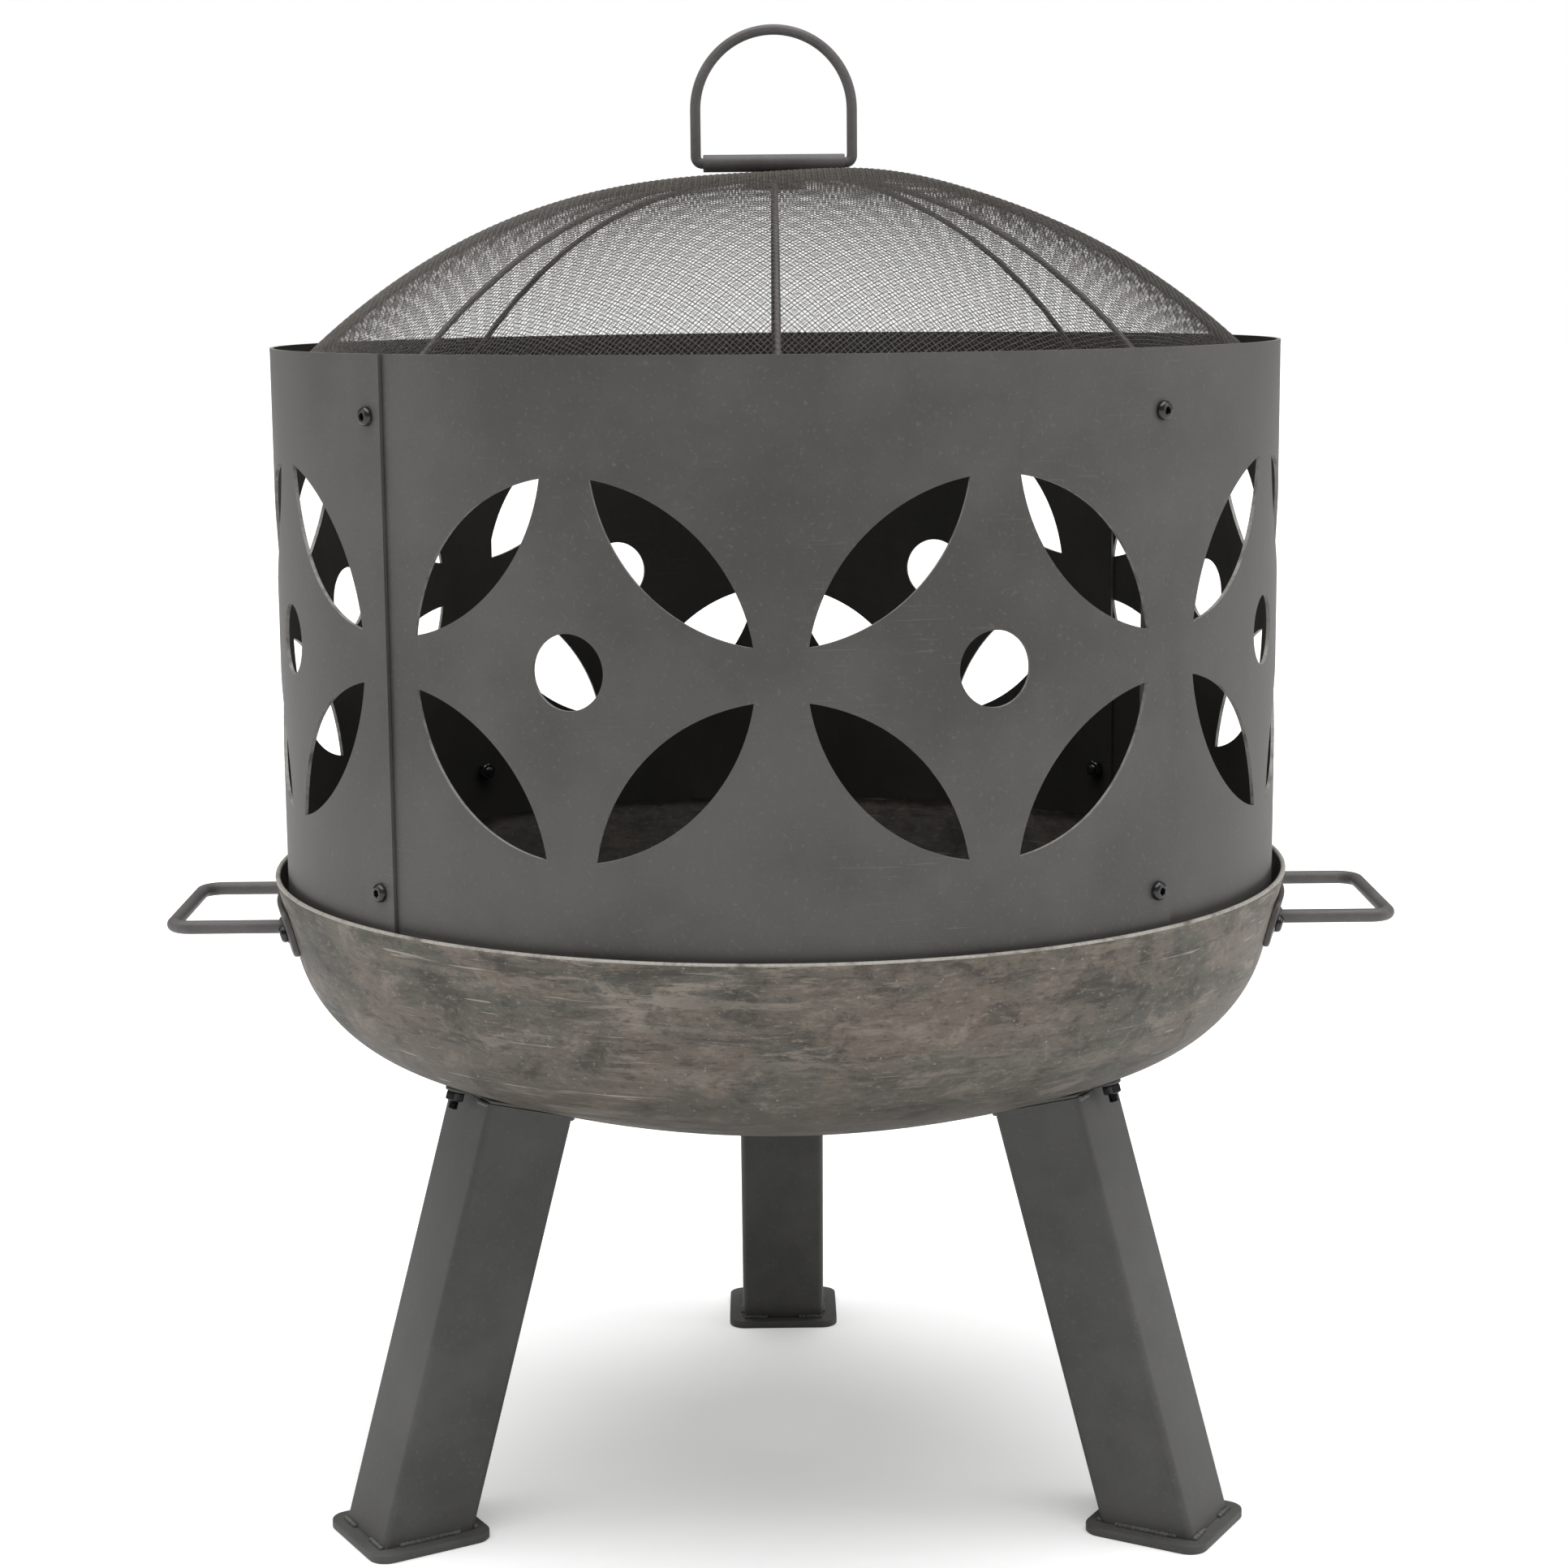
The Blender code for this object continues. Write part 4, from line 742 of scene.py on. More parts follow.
# ---------------------------------------------------------------- fasteners
@dataclass
class Fasteners:
    """Button head socket screws, hexagon nuts and washers, and how they are set."""

    kitchen: Kitchen
    wardrobe: Wardrobe
    radius: float = 0.003
    head_radius: float = 0.00525
    head_height: float = 0.0033
    socket: float = 0.004
    socket_depth: float = 0.0019
    nut_flats: float = 0.010
    nut_height: float = 0.005
    thread_pitch: float = 0.001
    washer_radius: float = 0.0062
    washer_height: float = 0.0003

    def _shank(self, length: float, plain: float, count: int) -> list[list[Vector]]:
        """Return loops of a shank from the tip to the head, with a thread below a plain neck."""
        loops = [ring(count, self.radius * 0.72, -length)]
        height = -length + self.thread_pitch * 0.4
        while height < -plain:
            loops.append(ring(count, self.radius, height))
            loops.append(ring(count, self.radius * 0.84, height + self.thread_pitch / 2.0))
            height += self.thread_pitch
        loops.append(ring(count, self.radius, -plain + self.thread_pitch))
        loops.append(ring(count, self.radius, 0.0))
        return loops

    def screw(self, grip: float, stickout: float, count: int = 24) -> bpy.types.Mesh:
        """Return a screw with the underside of its head at the origin and its shank along -Z.

        Args:
            grip: Thickness that it clamps.
            stickout: Thread beyond the nut.
            count: Sides.

        Returns:
            The mesh.
        """
        loops = self._shank(grip + self.nut_height + stickout, max(0.0011, grip - 0.001), count)
        loops.append(ring(count, self.head_radius * 0.96, 0.0))
        for share in (0.0, 0.2, 0.4, 0.6, 0.8, 1.0):
            turn = math.pi / 2.0 * share
            away = self.head_radius * (0.56 + 0.44 * math.cos(turn))
            loops.append(ring(count, away, self.head_height * (0.12 + 0.88 * math.sin(turn))))
        for height in (self.head_height - 0.00015, self.head_height - self.socket_depth):
            loop = []
            for step in range(count):
                turn = 2.0 * math.pi * step / count
                away = self.socket / 2.0 / math.cos(math.fmod(turn, math.pi / 3.0) - math.pi / 6.0)
                loop.append(Vector((away * math.cos(turn), away * math.sin(turn), height)))
            loops.append(loop)
        return settle(skin(loops), "screw", self.wardrobe.screw)

    def nut(self, count: int = 24) -> bpy.types.Mesh:
        """Return a nut whose bearing face is at the origin and whose body runs along -Z."""
        loops = []
        bore = self.radius + 0.0003
        for height, keep, away in ((0.0, False, bore), (0.0, False, 0.94), (-0.0006, True, 1.0),
                                   (-self.nut_height + 0.0006, True, 1.0), (-self.nut_height, False, 0.94),
                                   (-self.nut_height, False, bore)):
            if away == bore:
                loops.append(ring(count, bore, height))
                continue
            loop = []
            for step in range(count):
                turn = 2.0 * math.pi * step / count
                flat = self.nut_flats / 2.0 / math.cos(math.fmod(turn, math.pi / 3.0) - math.pi / 6.0)
                reach = flat if keep else min(flat, self.nut_flats / 2.0 * 1.02) * away
                loop.append(Vector((reach * math.cos(turn), reach * math.sin(turn), height)))
            loops.append(loop)
        return settle(skin(loops, around=True), "nut", self.wardrobe.screw)

    def washer(self, count: int = 24) -> bpy.types.Mesh:
        """Return a thin washer standing on the origin."""
        inner = self.radius + 0.0003
        loops = [ring(count, inner, 0.0), ring(count, self.washer_radius, 0.0),
                 ring(count, self.washer_radius, self.washer_height), ring(count, inner, self.washer_height)]
        return settle(skin(loops, around=True), "washer", self.wardrobe.screw)

    def place(self, name: str, shape: bpy.types.Mesh, seats: Sequence[Matrix], body: Body,
              stands_for: Sequence[str] = ()) -> bpy.types.Object:
        """Set one fastener on each seat as a piece."""
        template = bpy.data.objects.new("template", shape)
        mesh = self.kitchen.fasten.cook(seat_mesh(seats), {"Fastener": template, "Finish": self.wardrobe.screw})
        bpy.data.objects.remove(template, do_unlink=True)
        return finish_piece(name, mesh, body, stands_for, 28.0)


# ---------------------------------------------------------------- bowl
@dataclass
class Bowl:
    """Dished bowl: straight drafted wall, round corner and shallow spherical floor."""

    kitchen: Kitchen
    wardrobe: Wardrobe
    radius: float = 0.3005
    depth: float = 0.1514
    wall: float = 0.0028
    draft: float = math.radians(14.7)
    corner: float = 0.079
    floor_radius: float = 0.603
    rim_height: float = 0.374
    around: int = 192
    steps: int = 22

    def __post_init__(self) -> None:
        """Work out the centres of the corner and floor arcs."""
        self.sphere_z = self.rim_height - self.depth + self.floor_radius
        start_r = self.radius - self.corner * math.cos(self.draft)
        start_z = self.rim_height + self.corner * math.sin(self.draft) - self.sphere_z
        run_r, run_z = -math.sin(self.draft), -math.cos(self.draft)
        half_b = start_r * run_r + start_z * run_z
        rest = start_r ** 2 + start_z ** 2 - (self.floor_radius - self.corner) ** 2
        travel = -half_b + math.sqrt(half_b ** 2 - rest)
        self.corner_r = start_r + travel * run_r
        self.corner_z = start_z + self.sphere_z + travel * run_z
        self.edge_angle = math.atan2(self.sphere_z - self.corner_z, self.corner_r)

    def wall_radius(self, height: float) -> float:
        """Return the outer radius of the straight wall at a height."""
        return self.radius - (self.rim_height - height) * math.tan(self.draft)

    def floor_lift(self, distance: float, inset: float) -> float:
        """Return the floor's height over its tangent plane at a distance from the tangent point."""
        return self.floor_radius + 0.0003 - math.sqrt((self.floor_radius - inset) ** 2 - distance ** 2)

    def profile(self, inset: float) -> Section:
        """Return the half section from rim to axis, moved inward by an inset."""
        points = []
        corner = self.corner - inset
        first = (self.corner_r + corner * math.cos(-self.draft), self.corner_z + corner * math.sin(-self.draft))
        top = (self.radius - inset / math.cos(self.draft) - self.wall * 0.14, self.rim_height - self.wall * 0.5)
        for step in range(8):
            share = step / 8
            points.append((top[0] + (first[0] - top[0]) * share, top[1] + (first[1] - top[1]) * share))
        for step in range(self.steps + 1):
            angle = -self.draft + (self.draft - self.edge_angle) * step / self.steps
            points.append((self.corner_r + corner * math.cos(angle), self.corner_z + corner * math.sin(angle)))
        floor = self.floor_radius - inset
        for step in range(1, self.steps + 1):
            angle = -self.edge_angle - (math.pi / 2.0 - self.edge_angle) * step / self.steps
            points.append((max(0.0, floor * math.cos(angle)), self.sphere_z + floor * math.sin(angle)))
        points[-1] = (0.0, points[-1][1])
        return points

    def build(self) -> None:
        """Turn the bowl and dress its inside, outside and rim."""
        outer, inner = self.profile(0.0), self.profile(self.wall)
        middle = ((outer[0][0] + inner[0][0]) / 2.0, outer[0][1])
        rim = [(middle[0] + self.wall * 0.52 * math.cos(turn), middle[1] + self.wall * 0.5 * math.sin(turn))
               for turn in (math.pi * step / 8 for step in range(1, 8))]
        section = outer[::-1] + rim + inner
        base = bpy.data.meshes.new("bowl_section")
        base.from_pydata([(radius, 0.0, height) for radius, height in section], [], [])
        mesh = self.kitchen.lathe.cook(base, {"Around": self.around, "Finish": self.wardrobe.bowl})
        item = finish_piece("bowl_shell", mesh, Body.STAND, ("fire_bowl",), 40.0)
        mesh.materials.append(self.wardrobe.bowl_inside)
        mesh.materials.append(self.wardrobe.bowl_rim)
        for face in item.data.polygons:
            if face.center.z > self.rim_height - self.wall * 0.5:
                face.material_index = 2
            # Faces that look up are the bowl's inside and get the finish with painted shade.
            elif face.normal.z > 0.0:
                face.material_index = 1


# ---------------------------------------------------------------- legs
@dataclass
class Legs:
    """Three splayed box tubes with foot plates, top plates, bolts, nuts and weld beads."""

    bowl: Bowl
    fasteners: Fasteners
    count: int = 3
    first: float = math.radians(90.0)
    splay: float = math.radians(16.3)
    tube: float = 0.0553
    wall: float = 0.003
    corner: float = 0.004
    mount_offset: float = 0.0123
    foot_size: float = 0.074
    foot_thickness: float = 0.005
    foot_corner: float = 0.011
    cap_thickness: float = 0.002
    cap_corner: float = 0.004
    bolt_offset: float = 0.0085
    bolt_edge: float = 0.0065
    stickout: float = 0.005
    gap: float = 0.0003
    sag: float = 0.00082

    NAMES = ("rear", "left", "right")

    def __post_init__(self) -> None:
        """Work out the leg's axes and the middle of its top."""
        self.down = Vector((math.sin(self.splay), 0.0, -math.cos(self.splay)))
        self.out = Vector((math.cos(self.splay), 0.0, math.sin(self.splay)))
        touch = Vector((0.0, 0.0, self.bowl.sphere_z)) + self.down * (self.bowl.floor_radius + self.gap)
        self.top = touch + self.out * self.mount_offset
        self.foot_top = self.foot_thickness + self.gap
        self.foot_radius = self.top.x + (self.top.z - self.foot_top) * math.tan(self.splay)
        self.bolt_run = self.tube / 2.0 + self.bolt_offset

    def turns(self) -> list[Matrix]:
        """Return the turn of each leg about the Z axis."""
        return [turn_z(self.first + 2.0 * math.pi * index / self.count) for index in range(self.count)]

    def _tube(self) -> bpy.types.Mesh:
        """Return one tube in its radial frame, with a square head and a level foot."""
        head_at = self.top + self.down * (self.cap_thickness + self.gap)
        ends = []
        for inset in (0.0, self.wall):
            size = self.tube - 2.0 * inset
            head = [head_at + self.out * point.x + Vector((0.0, point.y, 0.0))
                    for point in rounded_box(size, size, self.corner - inset * 0.8, 7)]
            foot = [point + self.down * ((point.z - self.foot_top) / -self.down.z) for point in head]
            ends.append((head, foot))
        loops = [ends[0][0], ends[0][1], ends[1][1], ends[1][0]]
        return settle(skin(loops, around=True), "leg_tube", self.bowl.wardrobe.leg)

    def _foot_outline(self, inset: float) -> list[Vector]:
        """Return the foot plate's outline, moved inward by an inset."""
        size = self.foot_size - 2.0 * inset
        return rounded_box(size, size, self.foot_corner - inset, 8)

    def _cap_outline(self, inset: float) -> list[Vector]:
        """Return the top plate's outline, the tube's square with an ear about each bolt, moved inward."""
        points = []
        size, edge = self.tube - 2.0 * inset, self.bolt_edge - inset
        square = rounded_box(size, size, self.cap_corner - inset, 6)
        for side in (1.0, -1.0):
            for step in range(13):
                angle = -math.pi / 2.0 + math.pi * step / 12
                reach = self.bolt_run + edge * math.cos(angle)
                points.append(Vector((side * reach, side * edge * math.sin(angle), 0.0)))
            points.append(Vector((side * size / 2.0, side * edge, 0.0)))
            half = len(square) // 2
            points.extend(square[:half] if side > 0.0 else square[half:])
            points.append(Vector((-side * size / 2.0, side * edge, 0.0)))
        return points

    def _plate(self, outline: Callable[[float], list[Vector]], thickness: float) -> bpy.types.Mesh:
        """Return a plate of an outline with eased edges, its upper face at Z = 0."""
        ease = 0.0005
        levels = ((ease, 0.0), (0.3 * ease, -0.3 * ease), (0.0, -ease), (0.0, ease - thickness), (ease, -thickness))
        loops = [[point + Vector((0.0, 0.0, height)) for point in outline(inset)] for inset, height in levels]
        return settle(skin(loops), "plate", self.bowl.wardrobe.leg)

    def _welds(self) -> list[list[Vector]]:
        """Return the paths of the weld beads of one leg, in its radial frame."""
        paths = []
        half = self.tube / 2.0
        stretch = 1.0 / math.cos(self.splay)
        lift = self.foot_top + 0.0003
        middle = self.foot_radius
        for side in (1.0, -1.0):
            edge = middle + side * (half * stretch + 0.0006)
            for low, high in ((-0.94, -0.42), (0.42, 0.94)):
                paths.append([Vector((edge, half * low, lift)), Vector((edge, half * high, lift))])
        for side in (1.0, -1.0):
            edge = side * (half + 0.0004)
            paths.append([Vector((middle - 0.018, edge, lift)), Vector((middle + 0.018, edge, lift))])
        head = self.top + self.down * (self.cap_thickness + 0.0012)
        for side in (1.0, -1.0):
            edge = head + self.out * (side * (half + 0.0004))
            paths.append([edge + Vector((0.0, half * 0.55, 0.0)), edge + Vector((0.0, half * 0.90, 0.0))])
            paths.append([edge + Vector((0.0, -half * 0.90, 0.0)), edge + Vector((0.0, -half * 0.55, 0.0))])
        return paths

    def bolt_seats(self, side: float, under: bool) -> list[Matrix]:
        """Return the seats of the bolts, or of their nuts, on one side of every leg."""
        seats = []
        away = abs(self.mount_offset + self.bolt_run * side) + self.fasteners.head_radius
        lift = self.bowl.floor_lift(away, self.bowl.wall) + self.gap + self.sag
        for turn in self.turns():
            seat = turn @ seat_frame(self.top + self.out * (self.bolt_run * side), -self.down, self.out)
            height = -self.cap_thickness - self.gap if under else lift
            seats.append(seat @ Matrix.Translation((0.0, 0.0, height)))
        return seats

    def build(self) -> None:
        """Build and dress the legs."""
        turns = self.turns()
        tube = self._tube()
        finish_piece("leg_tubes", gather("leg_tubes", [(tube, turn) for turn in turns]), Body.STAND,
                     ["leg_tube_" + name for name in self.NAMES], 30.0)
        foot = self._plate(self._foot_outline, self.foot_thickness)
        lift = Matrix.Translation((self.foot_radius, 0.0, self.foot_thickness))
        finish_piece("foot_plates", gather("foot_plates", [(foot, turn @ lift) for turn in turns]), Body.STAND,
                     ["foot_plate_" + name for name in self.NAMES], 50.0)
        cap = self._plate(self._cap_outline, self.cap_thickness)
        seat = seat_frame(self.top, -self.down, self.out)
        finish_piece("leg_top_plates", gather("leg_top_plates", [(cap, turn @ seat) for turn in turns]),
                     Body.STAND, ["leg_top_plate_" + name for name in self.NAMES], 50.0)
        paths = [[turn @ point for point in path] for turn in turns for path in self._welds()]
        beads = self.fasteners.kitchen.beads.cook(wire_mesh(paths), {
            "Radius": 0.0017, "Pitch": 0.0013, "Seed": 4, "Finish": self.bowl.wardrobe.weld})
        finish_piece("leg_weld_beads", beads, Body.STAND, (), 60.0)
        for side, where in ((1.0, "outer"), (-1.0, "inner")):
            away = abs(self.mount_offset + self.bolt_run * side) + self.fasteners.head_radius
            grip = self.bowl.floor_lift(away, self.bowl.wall) + 2.0 * self.gap + self.sag + self.cap_thickness
            self.fasteners.place("leg_bolts_" + where, self.fasteners.screw(grip, self.stickout),
                                 self.bolt_seats(side, False), Body.STAND,
                                 [f"leg_bolt_{name}_{where}" for name in self.NAMES])
            self.fasteners.place("leg_nuts_" + where, self.fasteners.nut(), self.bolt_seats(side, True),
                                 Body.STAND, [f"leg_nut_{name}_{where}" for name in self.NAMES])


# ---------------------------------------------------------------- side handles
@dataclass
class SideHandles:
    """Two round bar grips welded to curved strips that are screwed to the bowl."""

    bowl: Bowl
    fasteners: Fasteners
    rod: float = 0.008
    spacing: float = 0.116
    reach: float = 0.357
    bend: float = 0.012
    drop: float = 0.029
    strip_thickness: float = 0.003
    strip_height: float = 0.028
    screw_spacing: float = 0.144
    strip_end: float = 0.013
    gap: float = 0.0003
    bowl_sag: float = 0.00041

    def __post_init__(self) -> None:
        """Work out the height of the arms."""
        self.height = self.bowl.rim_height - self.drop

    def _angle(self, distance: float) -> float:
        """Return the azimuth of a point at a straight distance from the strip's middle."""
        return math.asin(distance / self.bowl.wall_radius(self.height))

    def _strip(self) -> bpy.types.Mesh:
        """Return the strip about the +X side, with round corners and eased edges."""
        full = self.screw_spacing / 2.0 + self.strip_end
        corner = 0.006
        marks = [full - corner * (1.0 - math.cos(math.pi / 2.0 * step / 6)) for step in range(1, 7)]
        stations = sorted({-mark for mark in marks} | set(marks) | {full * share / 14 for share in range(-13, 14)
                                                                    if abs(full * share / 14) < full - corner})
        ease = 0.0005
        loops = []
        for distance in stations:
            inset = max(0.0, abs(distance) - (full - corner))
            half = self.strip_height / 2.0 - corner + math.sqrt(max(0.0, corner ** 2 - inset ** 2))
            angle = self._angle(distance)
            radial = Vector((math.cos(angle), math.sin(angle), 0.0))
            loop = []
            for along, out in ((half, ease), (half, self.strip_thickness - ease),
                               (half - ease, self.strip_thickness), (ease - half, self.strip_thickness),
                               (-half, self.strip_thickness - ease), (-half, ease), (ease - half, 0.0),
                               (half - ease, 0.0)):
                level = self.height + along * math.cos(self.bowl.draft)
                away = self.bowl.wall_radius(level) + (self.gap + out) / math.cos(self.bowl.draft)
                loop.append(radial * away + Vector((0.0, 0.0, level)))
            loops.append(loop)
        return settle(skin(loops), "strip", self.bowl.wardrobe.rod)

    def _grip(self) -> list[Vector]:
        """Return the centreline of the +X grip."""
        half = self.spacing / 2.0
        away = self.bowl.wall_radius(self.height) + (self.gap + self.strip_thickness) / math.cos(self.bowl.draft)
        start = math.sqrt(away ** 2 - half ** 2) - 0.0014
        path = [Vector((start, -half, self.height))]
        for side, first in ((-1.0, -math.pi / 2.0), (1.0, 0.0)):
            for step in range(13):
                angle = first + math.pi / 2.0 * step / 12
                path.append(Vector((self.reach - self.bend + self.bend * math.cos(angle),
                                    side * (half - self.bend) + self.bend * math.sin(angle), self.height)))
        path.append(Vector((start, half, self.height)))
        return path

    def _weld_paths(self) -> list[list[Vector]]:
        """Return rings round the ends of the +X grip's arms, on the strip's face."""
        paths = []
        grip = self._grip()
        for end in (grip[0], grip[-1]):
            loop = []
            for point in ring(20, self.rod / 2.0 + 0.0003):
                height = point.y
                away = (self.bowl.wall_radius(self.height + height)
                        + (self.gap + self.strip_thickness) / math.cos(self.bowl.draft))
                across = end.y + point.x
                loop.append(Vector((math.sqrt(away ** 2 - across ** 2), across, end.z + height)))
            paths.append(loop)
        return paths

    def seats(self, facing: float) -> list[Matrix]:
        """Return the screw seats on the outer face of the strip on one side."""
        seats = []
        for side in (-1.0, 1.0):
            azimuth = facing + side * self._angle(self.screw_spacing / 2.0)
            radial = Vector((math.cos(azimuth), math.sin(azimuth), 0.0))
            outward = radial * math.cos(self.bowl.draft) - Vector((0.0, 0.0, math.sin(self.bowl.draft)))
            face = radial * self.bowl.wall_radius(self.height) + Vector((0.0, 0.0, self.height))
            seats.append(seat_frame(face + outward * (2.0 * self.gap + self.strip_thickness), outward,
                                    Vector((0.0, 0.0, 1.0))))
        return seats

    def build(self) -> None:
        """Build and dress both handles."""
        turns = {"right": turn_z(0.0), "left": turn_z(math.pi)}
        strip = self._strip()
        grip = self.fasteners.kitchen.rod.cook(wire_mesh([self._grip()]), {
            "Radius": self.rod / 2.0, "Sides": 24, "Finish": self.bowl.wardrobe.rod})
        beads = self.fasteners.kitchen.beads.cook(wire_mesh(self._weld_paths(), True), {
            "Radius": 0.0014, "Pitch": 0.0011, "Seed": 9, "Finish": self.bowl.wardrobe.weld})
        lift = Matrix.Translation((0.0, 0.0, self.fasteners.washer_height))
        hold = self.strip_thickness + self.bowl.wall + 4.0 * self.gap + self.bowl_sag
        screw = self.fasteners.screw(hold, 0.002)
        nut = self.fasteners.nut()
        for label, turn in turns.items():
            finish_piece("handle_strip_bent_" + label, gather("strip", [(strip, turn)]), Body.STAND,
                         ["handle_strip_" + label], 50.0)
            finish_piece("side_grip_" + label, gather("grip", [(grip, turn)]), Body.STAND,
                         ["side_handle_" + label], 50.0)
            finish_piece("side_grip_welds_" + label, gather("welds", [(beads, turn)]), Body.STAND, (), 60.0)
            seats = self.seats(0.0 if label == "right" else math.pi)
            self.fasteners.place("handle_washers_" + label, self.fasteners.washer(), seats, Body.STAND)
            self.fasteners.place("handle_screws_" + label, screw, [seat @ lift for seat in seats], Body.STAND,
                                 [f"handle_screw_{label}_{where}" for where in "ab"])
            self.fasteners.place("handle_nuts_" + label, nut,
                                 [seat @ Matrix.Translation((0.0, 0.0, -hold)) for seat in seats], Body.STAND,
                                 [f"handle_nut_{label}_{where}" for where in "ab"])


# ---------------------------------------------------------------- heat ring
@dataclass
class HeatRing:
    """Four rolled panels with petal cut-outs, lapped and screwed into a ring."""

    bowl: Bowl
    fasteners: Fasteners
    height: float = 0.319
    seat_depth: float = 0.0137
    sheet: float = 0.002
    overlap: float = 0.022
    screw_edge: float = 0.011
    screw_inset: float = 0.0325
    motif_azimuth: float = math.radians(21.83)
    motif_gap: float = 0.028
    petal_gap: float = 0.028
    petal_width: float = 0.0388
    eye: float = 0.0396
    gap: float = 0.0003
    clearance: float = 0.0005
    columns: int = 72

    def __post_init__(self) -> None:
        """Work out the ring's radii and levels."""
        self.foot = self.bowl.rim_height - self.seat_depth
        self.outer = self.bowl.wall_radius(self.foot) - self.bowl.wall / math.cos(self.bowl.draft) - self.clearance
        self.growth = self.sheet + self.gap
        self.pitch = math.pi / 2.0
        self.span = self.pitch + self.overlap / self.outer
        self.screw_angle = self.pitch / 2.0 - self.screw_edge / self.outer
        self.levels = (self.foot + self.screw_inset, self.foot + self.height - self.screw_inset)
        self.inner = self.radius_at(self.pitch / 2.0 - self.span) - self.sheet

    def radius_at(self, angle: float) -> float:
        """Return a panel's outer radius at an angle from its middle."""
        return self.outer - self.growth * (self.pitch / 2.0 - angle) / self.pitch

    def _recipe(self) -> Recipe:
        """Return the recipe that pierces a flat blank and rolls it."""
        recipe = Recipe("pierced_panel", {
            "Span": float, "Height": float, "Sheet": float, "Columns": int, "Lens Radius": float,
            "Lens Shift": float, "Petal Reach": float, "Motif Shift": float, "Eye Radius": float,
            "Start": float, "Ring Radius": float, "Growth": float, "Foot": float, "Facing": float,
            "Finish": bpy.types.Material, "Inside Finish": bpy.types.Material, "Cut Finish": bpy.types.Material})
        half = recipe.calc("MULTIPLY", recipe["Sheet"], 0.5)
        blank = recipe.add("GeometryNodeMeshCube", {
            "Size": recipe.combine(recipe["Span"], recipe["Height"], recipe["Sheet"]),
            "Vertices X": recipe["Columns"], "Vertices Y": 2, "Vertices Z": 2})
        disc = recipe.add("GeometryNodeMeshCylinder", {"Vertices": 128, "Radius": recipe["Lens Radius"],
                                                       "Depth": recipe.calc("MULTIPLY", recipe["Sheet"], 8.0)})
        discs = []
        for sign in (1.0, -1.0):
            move = recipe.combine(0.0, recipe.calc("MULTIPLY", recipe["Lens Shift"], sign), 0.0)
            discs.append(recipe.add("GeometryNodeTransform", {"Geometry": disc, "Translation": move}))
        lens = recipe.add("GeometryNodeMeshBoolean", operation="INTERSECT", solver="EXACT")
        for shape in discs:
            recipe.tree.links.new(shape.outputs[0], lens.inputs[1])
        four = recipe.calc("MULTIPLY", recipe["Petal Reach"], 2.0)
        corners = recipe.add("GeometryNodeMeshGrid", {"Size X": four, "Size Y": four, "Vertices X": 2, "Vertices Y": 2})
        spot_x, spot_y, _ = recipe.split(recipe.add("GeometryNodeInputPosition"))
        lean = recipe.calc("MULTIPLY", recipe.calc("SIGN", recipe.calc("MULTIPLY", spot_x, spot_y)), -math.pi / 4.0)
        petals = recipe.add("GeometryNodeInstanceOnPoints", {"Points": corners, "Instance": lens.outputs[0],
                                                             "Rotation": recipe.combine(0.0, 0.0, lean)})
        eye = recipe.add("GeometryNodeMeshCylinder", {"Vertices": 56, "Radius": recipe["Eye Radius"],
                                                      "Depth": recipe.calc("MULTIPLY", recipe["Sheet"], 8.0)})
        motif = recipe.add("GeometryNodeJoinGeometry")
        for shape in (petals, eye):
            recipe.tree.links.new(shape.outputs[0], motif.inputs[0])
        pair = recipe.add("GeometryNodeMeshLine", {
            "Count": 2,
            "Start Location": recipe.combine(recipe.calc("MULTIPLY", recipe["Motif Shift"], -1.0), 0.0, 0.0),
            "Offset": recipe.combine(recipe.calc("MULTIPLY", recipe["Motif Shift"], 2.0), 0.0, 0.0)})
        both = recipe.add("GeometryNodeInstanceOnPoints", {"Points": pair, "Instance": motif})
        tools = recipe.add("GeometryNodeTransform", {
            "Geometry": recipe.add("GeometryNodeRealizeInstances", {"Geometry": both}),
            "Translation": recipe.combine(recipe.calc("MULTIPLY", recipe["Start"], -1.0), 0.0, 0.0)})
        cut = recipe.add("GeometryNodeMeshBoolean", {"Mesh 1": blank}, operation="DIFFERENCE", solver="EXACT")
        recipe.tree.links.new(tools.outputs[0], cut.inputs[1])
        flat_x, flat_y, flat_z = recipe.split(recipe.add("GeometryNodeInputPosition"))
        arc = recipe.calc("ADD", flat_x, recipe["Start"])
        local = recipe.calc("DIVIDE", arc, recipe["Ring Radius"])
        fall = recipe.calc("MULTIPLY", recipe["Growth"],
                           recipe.calc("DIVIDE", recipe.calc("SUBTRACT", self.pitch / 2.0, local), self.pitch))
        wave = recipe.add("ShaderNodeTexNoise", {"Vector": recipe.combine(arc, flat_y, recipe["Facing"]), "Scale": 7.0,
                                                 "Detail": 1.0})
        away = recipe.calc("ADD", recipe.calc("SUBTRACT", recipe["Ring Radius"], fall),
                           recipe.calc("SUBTRACT", flat_z, half))
        away = recipe.calc("ADD", away, recipe.calc("MULTIPLY", recipe.calc("SUBTRACT", wave.outputs[0], 0.5), 0.0008))
        turn = recipe.calc("ADD", local, recipe["Facing"])
        level = recipe.calc("ADD", flat_y, recipe.calc("ADD", recipe["Foot"],
                                                       recipe.calc("MULTIPLY", recipe["Height"], 0.5)))
        spot = recipe.combine(recipe.calc("MULTIPLY", away, recipe.calc("COSINE", turn)),
                              recipe.calc("MULTIPLY", away, recipe.calc("SINE", turn)), level)
        rolled = recipe.add("GeometryNodeSetPosition", {"Geometry": cut, "Position": spot})
        normal_x, normal_y, _ = recipe.split(recipe.add("GeometryNodeInputNormal"))
        place_x, place_y, _ = recipe.split(recipe.add("GeometryNodeInputPosition"))
